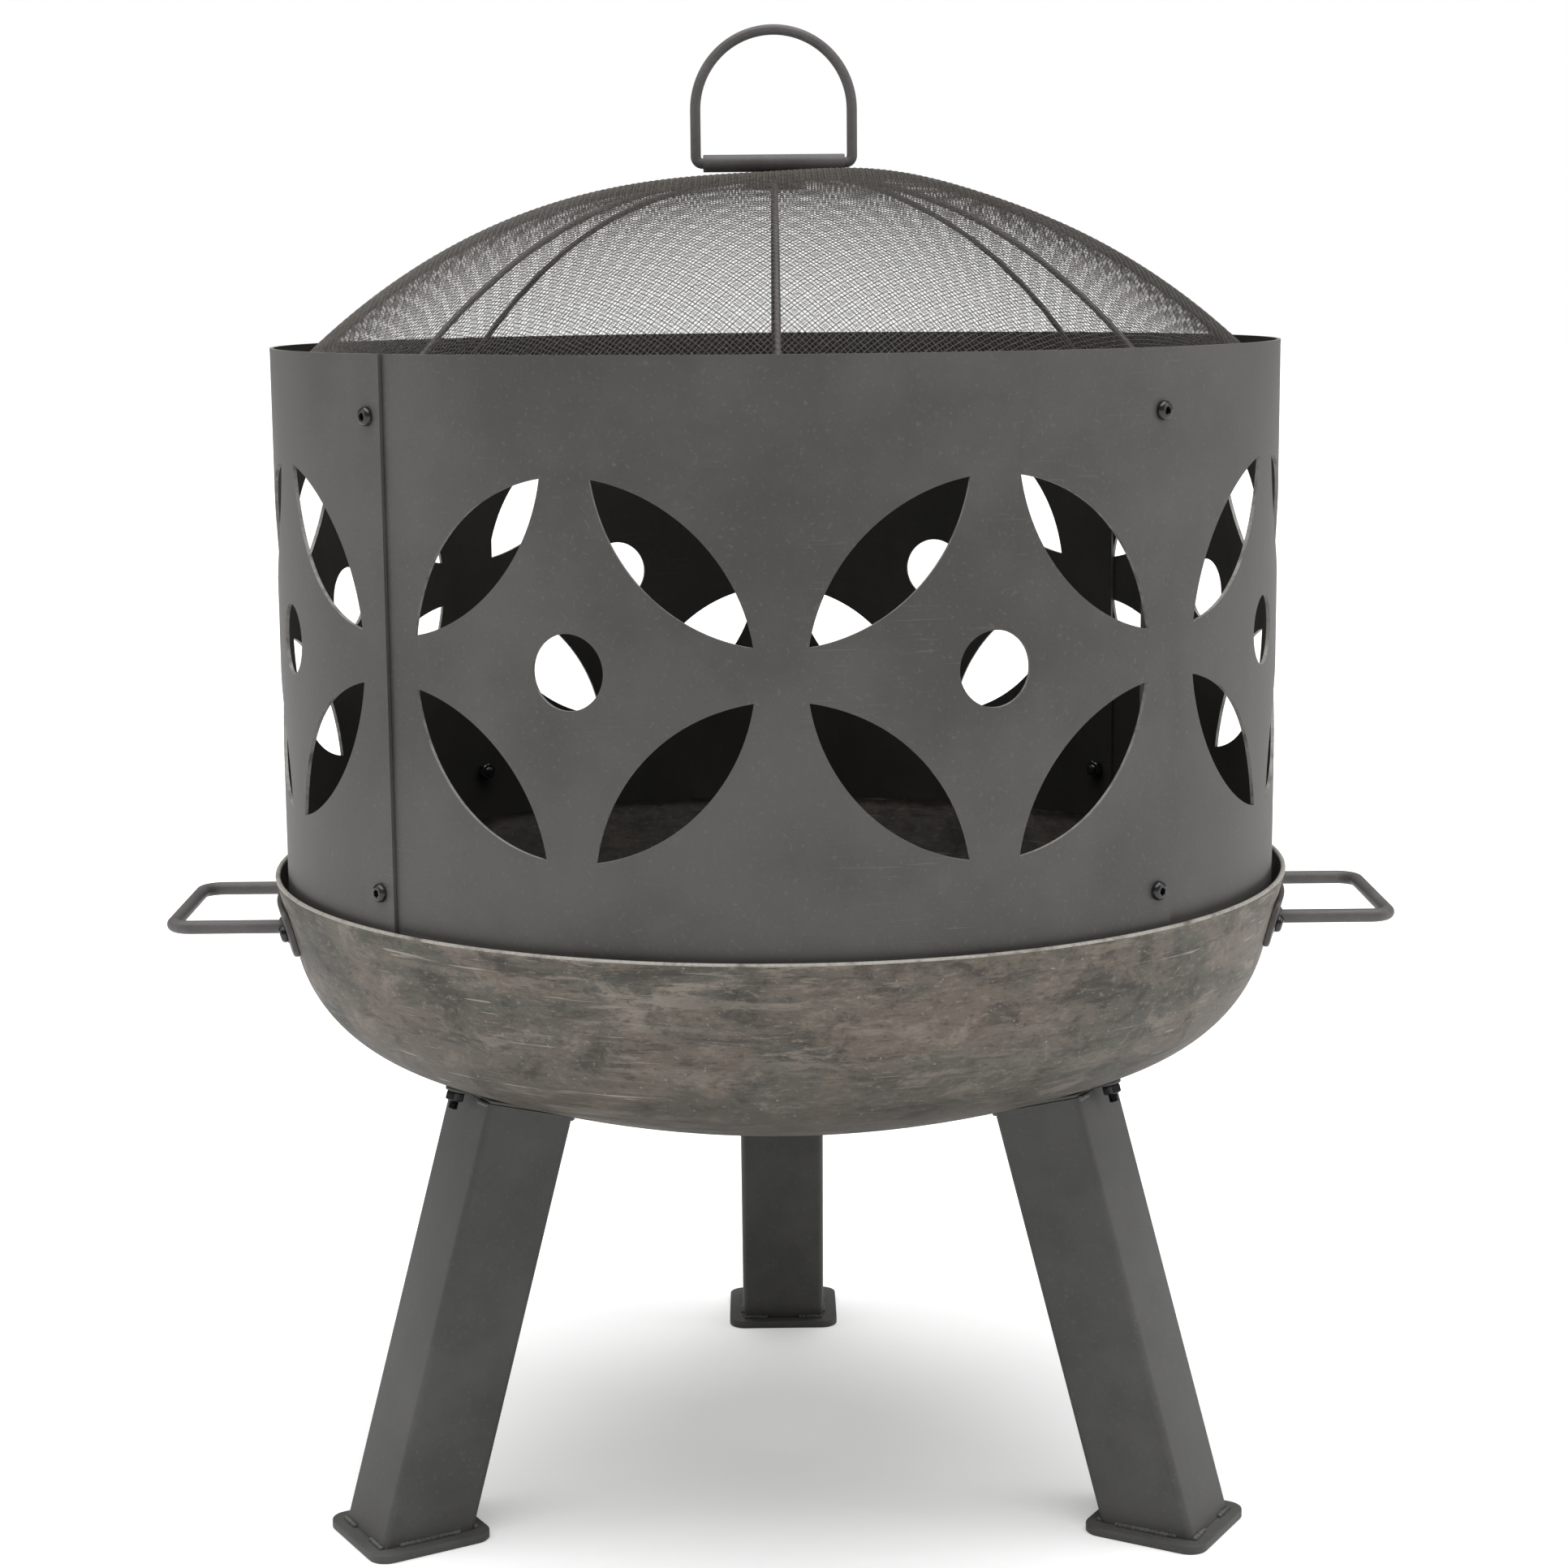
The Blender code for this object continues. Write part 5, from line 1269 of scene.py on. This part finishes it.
        lean_out = recipe.calc("ADD", recipe.calc("MULTIPLY", normal_x, place_x),
                               recipe.calc("MULTIPLY", normal_y, place_y))
        slack = recipe.calc("MULTIPLY", recipe["Ring Radius"], 0.5)
        # Faces turned towards the axis get the inside finish, which is painted shade.
        inside = recipe.calc("LESS_THAN", lean_out, recipe.calc("MULTIPLY", slack, -1.0))
        # Cut faces, apart from the sheet's ends, get the painted highlight finish.
        at_cut = recipe.calc("LESS_THAN", recipe.calc("ABSOLUTE", lean_out), slack)
        around = recipe.calc("COSINE", recipe.calc("SUBTRACT", recipe.calc("ARCTAN2", place_y, place_x),
                                                   recipe["Facing"]))
        clear = recipe.calc("GREATER_THAN", around, math.cos(self.pitch / 2.0 - 0.012))
        return recipe.close(rolled, ("Finish", None), ("Inside Finish", inside),
                            ("Cut Finish", recipe.calc("MULTIPLY", at_cut, clear)))

    def seats(self, facing: Facing) -> list[Matrix]:
        """Return the screw seats at the free end of one panel."""
        azimuth = math.radians(facing.value) + self.screw_angle
        radial = Vector((math.cos(azimuth), math.sin(azimuth), 0.0))
        away = self.radius_at(self.screw_angle) + self.gap
        return [seat_frame(radial * away + Vector((0.0, 0.0, level)), radial, Vector((0.0, 0.3, 1.0)))
                for level in self.levels]

    def build(self) -> None:
        """Build and dress the panels and their fasteners."""
        recipe = self._recipe()
        shift = self.motif_azimuth * self.outer
        reach = shift - self.motif_gap / 2.0
        centre = (reach + self.petal_gap / 2.0) / 2.0
        half_chord = (reach - self.petal_gap / 2.0) * math.sqrt(2.0) / 2.0
        rise = self.petal_width / 2.0
        lens = (half_chord ** 2 + rise ** 2) / (2.0 * rise)
        start = (self.pitch - self.span) / 2.0 * self.outer
        hold = 2.0 * self.sheet + 3.0 * self.gap + self.outer * (1.0 - math.cos(math.radians(3.0)))
        screw = self.fasteners.screw(hold, 0.002)
        nut = self.fasteners.nut()
        base = bpy.data.meshes.new("blank")
        for facing in Facing:
            label = facing.name.lower()
            mesh = recipe.cook(base, {
                "Span": self.span * self.outer, "Height": self.height, "Sheet": self.sheet, "Columns": self.columns,
                "Lens Radius": lens, "Lens Shift": lens - rise, "Petal Reach": centre, "Motif Shift": shift,
                "Eye Radius": self.eye / 2.0, "Start": start, "Ring Radius": self.outer, "Growth": self.growth,
                "Foot": self.foot, "Facing": math.radians(facing.value), "Finish": self.bowl.wardrobe.sheet,
                "Inside Finish": self.bowl.wardrobe.sheet_inside, "Cut Finish": self.bowl.wardrobe.cut_edge_highlight})
            finish_piece("pierced_panel_" + label, mesh, Body.RING, ["ring_panel_" + label], 35.0)
            seats = self.seats(facing)
            self.fasteners.place("ring_screws_" + label, screw, seats, Body.RING,
                                 [f"ring_screw_{label}_{where}" for where in ("lower", "upper")])
            self.fasteners.place("ring_nuts_" + label, nut,
                                 [seat @ Matrix.Translation((0.0, 0.0, -hold)) for seat in seats], Body.RING,
                                 [f"ring_nut_{label}_{where}" for where in ("lower", "upper")])


# ---------------------------------------------------------------- spark screen
@dataclass
class SparkScreen:
    """Domed screen: hoop, ribs on a boss, woven wire cloth with its hem, and the folding handle."""

    heat_ring: HeatRing
    hoop_rod: float = 0.006
    ring_clearance: float = 0.0024
    rise: float = 0.1204
    cloth: float = 0.001
    fullness: float = 2.45
    shoulder: float = 0.97
    pitch: float = 0.00245
    wire: float = 0.00040
    rib_count: int = 8
    rib_rod: float = 0.0034
    rib_start: float = 0.013
    boss_radius: float = 0.018
    boss_thickness: float = 0.007
    lid_rod: float = 0.006
    lid_half_width: float = 0.0453
    lid_straight: float = 0.0302
    sleeve_length: float = 0.082
    sleeve_wall: float = 0.0017
    sleeve_lift: float = 0.0014
    stud_radius: float = 0.003
    gap: float = 0.0003
    bulge: float = 0.0050
    bulge_x: float = 0.062
    bulge_y: float = 0.012
    bulge_width: float = 0.042

    def __post_init__(self) -> None:
        """Work out the hoop's place and the hinge's height."""
        ring_ = self.heat_ring
        self.hoop_radius = ring_.inner - self.ring_clearance - self.hoop_rod / 2.0
        self.hoop_height = ring_.levels[1] + ring_.fasteners.nut_flats / 2.0 + self.gap + self.hoop_rod / 2.0
        self.radius = self.hoop_radius + self.hoop_rod / 2.0 + self.gap + self.cloth
        self.skirt = self.hoop_rod / 2.0 + self.gap
        self.sleeve_radius = self.lid_rod / 2.0 + self.gap + self.sleeve_wall
        self.hinge = self.hoop_height + self.rise + self.sleeve_lift + self.sleeve_radius
        self.lid_bend = self.lid_half_width - self.sleeve_length / 2.0 - self.gap

    def dome(self, radius: float) -> float:
        """Return the height of the cloth's outer face over the hoop's centre."""
        share = min(1.0, radius / self.radius)
        return self.skirt + (self.rise - self.skirt) * (1.0 - share ** self.fullness) ** self.shoulder

    def swell(self, x: float, y: float) -> float:
        """Return the height of the soft bulge in the cloth at a point."""
        away = (x - self.bulge_x) ** 2 + (y - self.bulge_y) ** 2
        return self.bulge * math.exp(-away / (2.0 * self.bulge_width ** 2))

    def under(self, radius: float, inset: float) -> tuple[float, float]:
        """Return the radius and height of a point under the cloth by an inset."""
        step = 0.0005
        low, high = max(0.0, radius - step), min(self.radius, radius + step)
        run = Vector((high - low, self.dome(high) - self.dome(low))).normalized()
        return radius + run.y * inset, self.dome(radius) - run.x * inset

    def _recipe(self) -> Recipe:
        """Return the recipe that weaves one set of wires over one half of the dome."""
        recipe = Recipe("woven_wires", {
            "Radius": float, "Rise": float, "Skirt": float, "Fullness": float, "Shoulder": float, "Pitch": float,
            "Wire Radius": float, "Count": int, "First": int, "Wires": int, "Turn": float, "Phase": float,
            "Hoop Height": float, "Bulge": float, "Bulge X": float, "Bulge Y": float, "Bulge Width": float,
            "Sides": int, "Finish": bpy.types.Material})
        middle = recipe.calc("MULTIPLY", recipe.calc("SUBTRACT", recipe["Count"], 1.0), 0.5)
        start = recipe.calc("MULTIPLY", recipe.calc("SUBTRACT", recipe["First"], middle), recipe["Pitch"])
        rows = recipe.add("GeometryNodeMeshLine", {"Count": recipe["Wires"],
                                                   "Start Location": recipe.combine(0.0, start, 0.0),
                                                   "Offset": recipe.combine(0.0, recipe["Pitch"], 0.0)})
        reach = recipe.calc("MULTIPLY", middle, recipe["Pitch"])
        strand = recipe.add("GeometryNodeCurvePrimitiveLine", {
            "Start": recipe.combine(recipe.calc("MULTIPLY", reach, -1.0), 0.0, 0.0),
            "End": recipe.combine(reach, 0.0, 0.0)})
        dotted = recipe.add("GeometryNodeResampleCurve", {"Curve": strand, "Count": recipe["Count"]}, mode="COUNT")
        laid = recipe.add("GeometryNodeRealizeInstances", {
            "Geometry": recipe.add("GeometryNodeInstanceOnPoints", {"Points": rows, "Instance": dotted})})
        flat_x, flat_y, _ = recipe.split(recipe.add("GeometryNodeInputPosition"))
        away = recipe.calc("SQRT", recipe.calc("ADD", recipe.calc("MULTIPLY", flat_x, flat_x),
                                               recipe.calc("MULTIPLY", flat_y, flat_y)))
        beyond = recipe.calc("GREATER_THAN", away, recipe.calc("ADD", recipe["Radius"], recipe["Pitch"]))
        trimmed = recipe.add("GeometryNodeDeleteGeometry", {"Geometry": laid, "Selection": beyond}, domain="POINT")
        pull = recipe.calc("MINIMUM", recipe.calc("DIVIDE", recipe["Radius"], recipe.calc("MAXIMUM", away, 1e-6)), 1.0)
        near_x, near_y = recipe.calc("MULTIPLY", flat_x, pull), recipe.calc("MULTIPLY", flat_y, pull)
        share = recipe.calc("MINIMUM", recipe.calc("DIVIDE", away, recipe["Radius"]), 1.0)
        body = recipe.calc("POWER", recipe.calc("SUBTRACT", 1.0, recipe.calc("POWER", share, recipe["Fullness"])),
                           recipe["Shoulder"])
        dome = recipe.calc("ADD", recipe["Skirt"], recipe.calc("MULTIPLY", body, recipe.calc(
            "SUBTRACT", recipe["Rise"], recipe["Skirt"])))
        cosine, sine = recipe.calc("COSINE", recipe["Turn"]), recipe.calc("SINE", recipe["Turn"])
        world_x = recipe.calc("SUBTRACT", recipe.calc("MULTIPLY", near_x, cosine),
                              recipe.calc("MULTIPLY", near_y, sine))
        world_y = recipe.calc("ADD", recipe.calc("MULTIPLY", near_x, sine), recipe.calc("MULTIPLY", near_y, cosine))
        off_x = recipe.calc("POWER", recipe.calc("SUBTRACT", world_x, recipe["Bulge X"]), 2.0)
        off_y = recipe.calc("POWER", recipe.calc("SUBTRACT", world_y, recipe["Bulge Y"]), 2.0)
        wide = recipe.calc("MULTIPLY", recipe.calc("POWER", recipe["Bulge Width"], 2.0), -2.0)
        swell = recipe.calc("MULTIPLY", recipe["Bulge"], recipe.calc("EXPONENT", recipe.calc(
            "DIVIDE", recipe.calc("ADD", off_x, off_y), wide)))
        steps = recipe.calc("DIVIDE", recipe.calc("ADD", flat_x, flat_y), recipe["Pitch"])
        over = recipe.calc("MULTIPLY", recipe.calc("COSINE", recipe.calc("ADD", recipe.calc(
            "MULTIPLY", steps, math.pi), recipe["Phase"])), recipe.calc("MULTIPLY", recipe["Wire Radius"], 0.95))
        height = recipe.calc("ADD", recipe.calc("ADD", recipe["Hoop Height"], dome), recipe.calc("ADD", swell, over))
        shaped = recipe.add("GeometryNodeSetPosition", {"Geometry": trimmed,
                                                        "Position": recipe.combine(world_x, world_y, height)})
        round_ = recipe.add("GeometryNodeCurvePrimitiveCircle", {"Resolution": recipe["Sides"],
                                                                 "Radius": recipe["Wire Radius"]})
        tube = recipe.add("GeometryNodeCurveToMesh", {"Curve": shaped, "Profile Curve": round_})
        return recipe.close(tube, ("Finish", None))

    def _weave(self, wardrobe: Wardrobe) -> None:
        """Weave the cloth in four pieces: two sets of wires, each in two halves."""
        recipe = self._recipe()
        count = 2 * int(self.radius / self.pitch) + 2
        base = bpy.data.meshes.new("loom")
        for label, turn, phase in (("warp", math.radians(45.0), 0.0), ("weft", math.radians(135.0), math.pi)):
            for part, first, wires in (("near", 0, count // 2), ("far", count // 2, count - count // 2)):
                mesh = recipe.cook(base, {
                    "Radius": self.radius, "Rise": self.rise, "Skirt": self.skirt, "Fullness": self.fullness,
                    "Shoulder": self.shoulder, "Pitch": self.pitch, "Wire Radius": self.wire / 2.0, "Count": count,
                    "First": first, "Wires": wires, "Turn": turn, "Phase": phase, "Hoop Height": self.hoop_height,
                    "Bulge": self.bulge, "Bulge X": self.bulge_x, "Bulge Y": self.bulge_y,
                    "Bulge Width": self.bulge_width, "Sides": 3, "Finish": wardrobe.wire})
                finish_piece(f"screen_{label}_{part}", mesh, Body.SCREEN, ["screen_cloth"], 180.0, False)

    def _ribs(self) -> list[list[Vector]]:
        """Return the centrelines of the ribs."""
        depth = self.cloth + 2.0 * self.gap + self.rib_rod / 2.0
        limit = self.hoop_radius - self.hoop_rod / 2.0 - self.rib_rod / 2.0 + 0.0006
        paths = []
        for index in range(self.rib_count):
            turn = 2.0 * math.pi * index / self.rib_count
            path = []
            for step in range(41):
                radius = self.rib_start + (self.radius - self.rib_start) * math.sin(math.pi / 2.0 * step / 40)
                away, height = self.under(radius, depth)
                if away > limit - self.rib_rod:
                    break
                x, y = away * math.cos(turn), away * math.sin(turn)
                fade = min(1.0, (away - self.rib_start) / 0.02)
                path.append(Vector((x, y, self.hoop_height + height + fade * self.swell(x, y))))
            path.append(Vector((limit * math.cos(turn), limit * math.sin(turn), self.hoop_height)))
            paths.append(path)
        return paths

    def _turned(self, section: Section, kitchen: Kitchen, finish: bpy.types.Material, around: int) -> bpy.types.Mesh:
        """Turn a closed section about the Z axis."""
        base = bpy.data.meshes.new("section")
        base.from_pydata([(radius, 0.0, height) for radius, height in section], [], [])
        return kitchen.lathe.cook(base, {"Around": around, "Finish": finish})

    def build(self, kitchen: Kitchen, wardrobe: Wardrobe) -> None:
        """Build and dress the screen."""
        hoop = [ring(180, self.hoop_radius, self.hoop_height)]
        mesh = kitchen.rod.cook(wire_mesh(hoop, True), {"Radius": self.hoop_rod / 2.0, "Sides": 16,
                                                        "Finish": wardrobe.rod})
        finish_piece("screen_hoop_rod", mesh, Body.SCREEN, ["screen_hoop"], 60.0)
        self._weave(wardrobe)
        low, high, thick = self.hoop_height, self.hoop_height + self.skirt + 0.0016, 0.0007
        hem = self._turned([(self.radius - thick, low), (self.radius, low), (self.radius, high - 0.0006),
                            (self.radius - 0.0005, high), (self.radius - thick - 0.0004, high),
                            (self.radius - thick, high - 0.0006), (self.radius - thick, low)], kitchen,
                           wardrobe.rod, 180)
        finish_piece("screen_hem", hem, Body.SCREEN, (), 50.0)
        rods = kitchen.rod.cook(wire_mesh(self._ribs()), {"Radius": self.rib_rod / 2.0, "Sides": 14,
                                                          "Finish": wardrobe.rod})
        top = self.hoop_height + self.under(self.boss_radius, self.cloth)[1] - 2.0 * self.gap
        low, ease, out = top - self.boss_thickness, 0.0008, self.boss_radius
        boss = self._turned([(0.0, low), (out - ease, low), (out, low + ease), (out, top - ease),
                             (out - ease, top), (0.0, top)], kitchen, wardrobe.rod, 64)
        finish_piece("screen_rib_frame", gather("ribs", [(rods, Matrix.Identity(4)), (boss, Matrix.Identity(4))]),
                     Body.SCREEN, ["screen_ribs"], 50.0)
        limit = self.hoop_radius - self.hoop_rod / 2.0 - 0.0008
        dots = []
        for index in range(self.rib_count):
            turn = turn_z(2.0 * math.pi * index / self.rib_count)
            dots.append([turn @ Vector((limit, -0.0030, self.hoop_height + 0.0012)),
                         turn @ Vector((limit, 0.0030, self.hoop_height + 0.0012))])
        beads = kitchen.beads.cook(wire_mesh(dots), {"Radius": 0.0015, "Pitch": 0.0011, "Seed": 2,
                                                     "Finish": wardrobe.weld})
        finish_piece("screen_rib_welds", beads, Body.SCREEN, (), 60.0)
        self._handle(kitchen, wardrobe, top)

    def _handle(self, kitchen: Kitchen, wardrobe: Wardrobe, boss_top: float) -> None:
        """Build the sleeve on its stud and the folding handle."""
        half, bore, out, ease = self.sleeve_length / 2.0, self.lid_rod / 2.0 + self.gap, self.sleeve_radius, 0.0004
        section = [(bore, -half), (out - ease, -half), (out, ease - half), (out, half - ease), (out - ease, half),
                   (bore, half), (bore, -half)]
        tube = self._turned(section, kitchen, wardrobe.rod, 40)
        lie = Matrix.Translation((0.0, 0.0, self.hinge)) @ Matrix.Rotation(math.pi / 2.0, 4, "Y")
        stud_top = self.hinge - bore - self.sleeve_wall / 2.0
        stud_out = self.stud_radius - self.gap
        stud = self._turned([(0.0, boss_top - 0.001), (stud_out, boss_top - 0.001), (stud_out, stud_top - 0.0012),
                             (stud_out + 0.0012, stud_top), (0.0, stud_top)], kitchen, wardrobe.rod, 24)
        finish_piece("handle_sleeve_tube", gather("sleeve", [(tube, lie), (stud, Matrix.Identity(4))]), Body.SCREEN,
                     ["handle_sleeve"], 40.0)
        path = []
        for side, first in ((-1.0, math.pi), (1.0, -math.pi / 2.0)):
            for step in range(9):
                angle = first + math.pi / 2.0 * step / 8
                path.append(Vector((side * (self.lid_half_width - self.lid_bend) + self.lid_bend * math.cos(angle),
                                    0.0, self.hinge + self.lid_bend + self.lid_bend * math.sin(angle))))
        for step in range(49):
            angle = math.pi * step / 48
            path.append(Vector((self.lid_half_width * math.cos(angle), 0.0,
                                self.hinge + self.lid_straight + self.lid_half_width * math.sin(angle))))
        mesh = kitchen.rod.cook(wire_mesh([path], True), {"Radius": self.lid_rod / 2.0, "Sides": 20,
                                                          "Finish": wardrobe.rod})
        finish_piece("folding_handle", mesh, Body.LID_HANDLE, ["lid_handle"], 60.0)


# ---------------------------------------------------------------- log grate
@dataclass
class LogGrate:
    """Round grate of parallel bars in a hoop, on two cross bars."""

    bowl: Bowl
    radius: float = 0.195
    hoop_rod: float = 0.010
    bar_rod: float = 0.008
    bars: int = 9
    pitch: float = 0.040
    cross_drop: float = 0.0045
    cross_offset: float = 0.095
    sag: float = 0.00082
    gap: float = 0.0003

    def build(self, kitchen: Kitchen) -> None:
        """Build and dress the grate."""
        fall = self.bowl.floor_radius - self.bowl.wall - self.hoop_rod / 2.0 - 2.0 * self.gap - self.sag
        height = self.bowl.sphere_z - math.sqrt(fall ** 2 - self.radius ** 2)
        finish = self.bowl.wardrobe.grate
        hoop = kitchen.rod.cook(wire_mesh([ring(128, self.radius, height)], True),
                                {"Radius": self.hoop_rod / 2.0, "Sides": 18, "Finish": finish})
        paths = []
        for index in range(self.bars):
            offset = (index - (self.bars - 1) / 2.0) * self.pitch
            half = math.sqrt(self.radius ** 2 - offset ** 2)
            paths.append([Vector((offset, -half, height)), Vector((offset, half, height))])
        reach = ((self.bars - 1) / 2.0 - 1.0) * self.pitch + self.bar_rod / 2.0
        for side in (-1.0, 1.0):
            low = height - self.cross_drop
            offset = side * self.cross_offset
            paths.append([Vector((-reach, offset, low)), Vector((reach, offset, low))])
        rods = kitchen.rod.cook(wire_mesh(paths), {"Radius": self.bar_rod / 2.0, "Sides": 16, "Finish": finish})
        still = Matrix.Identity(4)
        finish_piece("grate_rods", gather("grate", [(hoop, still), (rods, still)]), Body.GRATE,
                     ["log_grate"], 50.0)


# ---------------------------------------------------------------- studio
@dataclass
class Studio:
    """Pale floor, soft lights, sky and camera."""

    wardrobe: Wardrobe
    eye: tuple[float, float, float] = (-0.00811, -1.81915, 0.71775)
    right: tuple[float, float, float] = (0.99993, -0.00734, -0.00904)
    up: tuple[float, float, float] = (0.01012, 0.16319, 0.98654)
    lens: float = 70.61
    sky: float = 0.19
    floor_radius: float = 30.0

    def _floor(self) -> None:
        """Lay the floor."""
        edit = bmesh.new()
        radii = (0.5, 1.0, 2.0, 6.0, self.floor_radius)
        rows = [[edit.verts.new(point) for point in ring(96, radius)] for radius in radii]
        edit.faces.new(rows[0])
        for first, second in zip(rows, rows[1:]):
            for index in range(96):
                edit.faces.new((first[index - 1], first[index], second[index], second[index - 1]))
        bmesh.ops.recalc_face_normals(edit, faces=edit.faces)
        item = bpy.data.objects.new("studio_floor", settle(edit, "studio_floor", self.wardrobe.floor))
        bpy.context.scene.collection.objects.link(item)

    def _daylight(self, turn: tuple[float, float, float], power: float, spread: float) -> None:
        """Add an even soft light from above, so that the floor is lit alike everywhere."""
        data = bpy.data.lights.new("even_overhead", "SUN")
        data.energy, data.angle = power, math.radians(spread)
        item = bpy.data.objects.new("even_overhead", data)
        item.rotation_euler = tuple(math.radians(part) for part in turn)
        bpy.context.scene.collection.objects.link(item)

    def _light(self, name: str, place: tuple[float, float, float], size: tuple[float, float], power: float) -> None:
        """Hang a soft rectangular light that looks at the ring."""
        data = bpy.data.lights.new(name, "AREA")
        data.shape = "RECTANGLE"
        data.size, data.size_y = size
        data.energy = power
        item = bpy.data.objects.new(name, data)
        item.location = place
        item.rotation_euler = (Vector((0.0, 0.0, 0.42)) - Vector(place)).to_track_quat("-Z", "Y").to_euler()
        bpy.context.scene.collection.objects.link(item)

    def _sky(self) -> None:
        """Set a pale sky that is white behind the object and softer as a light."""
        world = bpy.data.worlds.new("studio_sky")
        world.use_nodes = True
        sheet = NodeSheet(world.node_tree)
        back = world.node_tree.nodes["Background"]
        back.inputs["Color"].default_value = (1.0, 1.0, 1.0, 1.0)
        seen = sheet.add("ShaderNodeLightPath").outputs["Is Camera Ray"]
        gain = sheet.add("ShaderNodeMapRange", {0: seen, 1: 0.0, 2: 1.0, 3: self.sky, 4: 1.0})
        sheet.feed(back.inputs["Strength"], gain)
        bpy.context.scene.world = world

    def build(self) -> None:
        """Build the studio."""
        self._floor()
        self._sky()
        self._daylight((4.0, 0.0, 4.0), 3.4, 74.0)
        self._light("softbox_right", (2.5, -0.35, 1.5), (1.2, 1.4), 12.0)
        self._light("softbox_left", (-2.5, -0.35, 1.5), (1.2, 1.4), 7.0)
        data = bpy.data.cameras.new("camera")
        data.lens, data.sensor_width = self.lens, 36.0
        camera = bpy.data.objects.new("camera", data)
        right, up = Vector(self.right), Vector(self.up)
        camera.matrix_world = Matrix.Translation(self.eye) @ Matrix((right, up, right.cross(up))).transposed().to_4x4()
        bpy.context.scene.collection.objects.link(camera)
        bpy.context.scene.camera = camera
        bpy.context.scene.view_settings.view_transform = "Standard"


def main() -> None:
    """Build the fire pit and its studio."""
    logging.basicConfig(level=logging.INFO, format="%(name)s: %(message)s")
    wardrobe, kitchen = Wardrobe(), Kitchen()
    fasteners = Fasteners(kitchen, wardrobe)
    Studio(wardrobe).build()
    bowl = Bowl(kitchen, wardrobe)
    bowl.build()
    Legs(bowl, fasteners).build()
    SideHandles(bowl, fasteners).build()
    heat_ring = HeatRing(bowl, fasteners)
    heat_ring.build()
    SparkScreen(heat_ring).build(kitchen, wardrobe)
    LogGrate(bowl).build(kitchen)


if __name__ == "__main__":
    main()
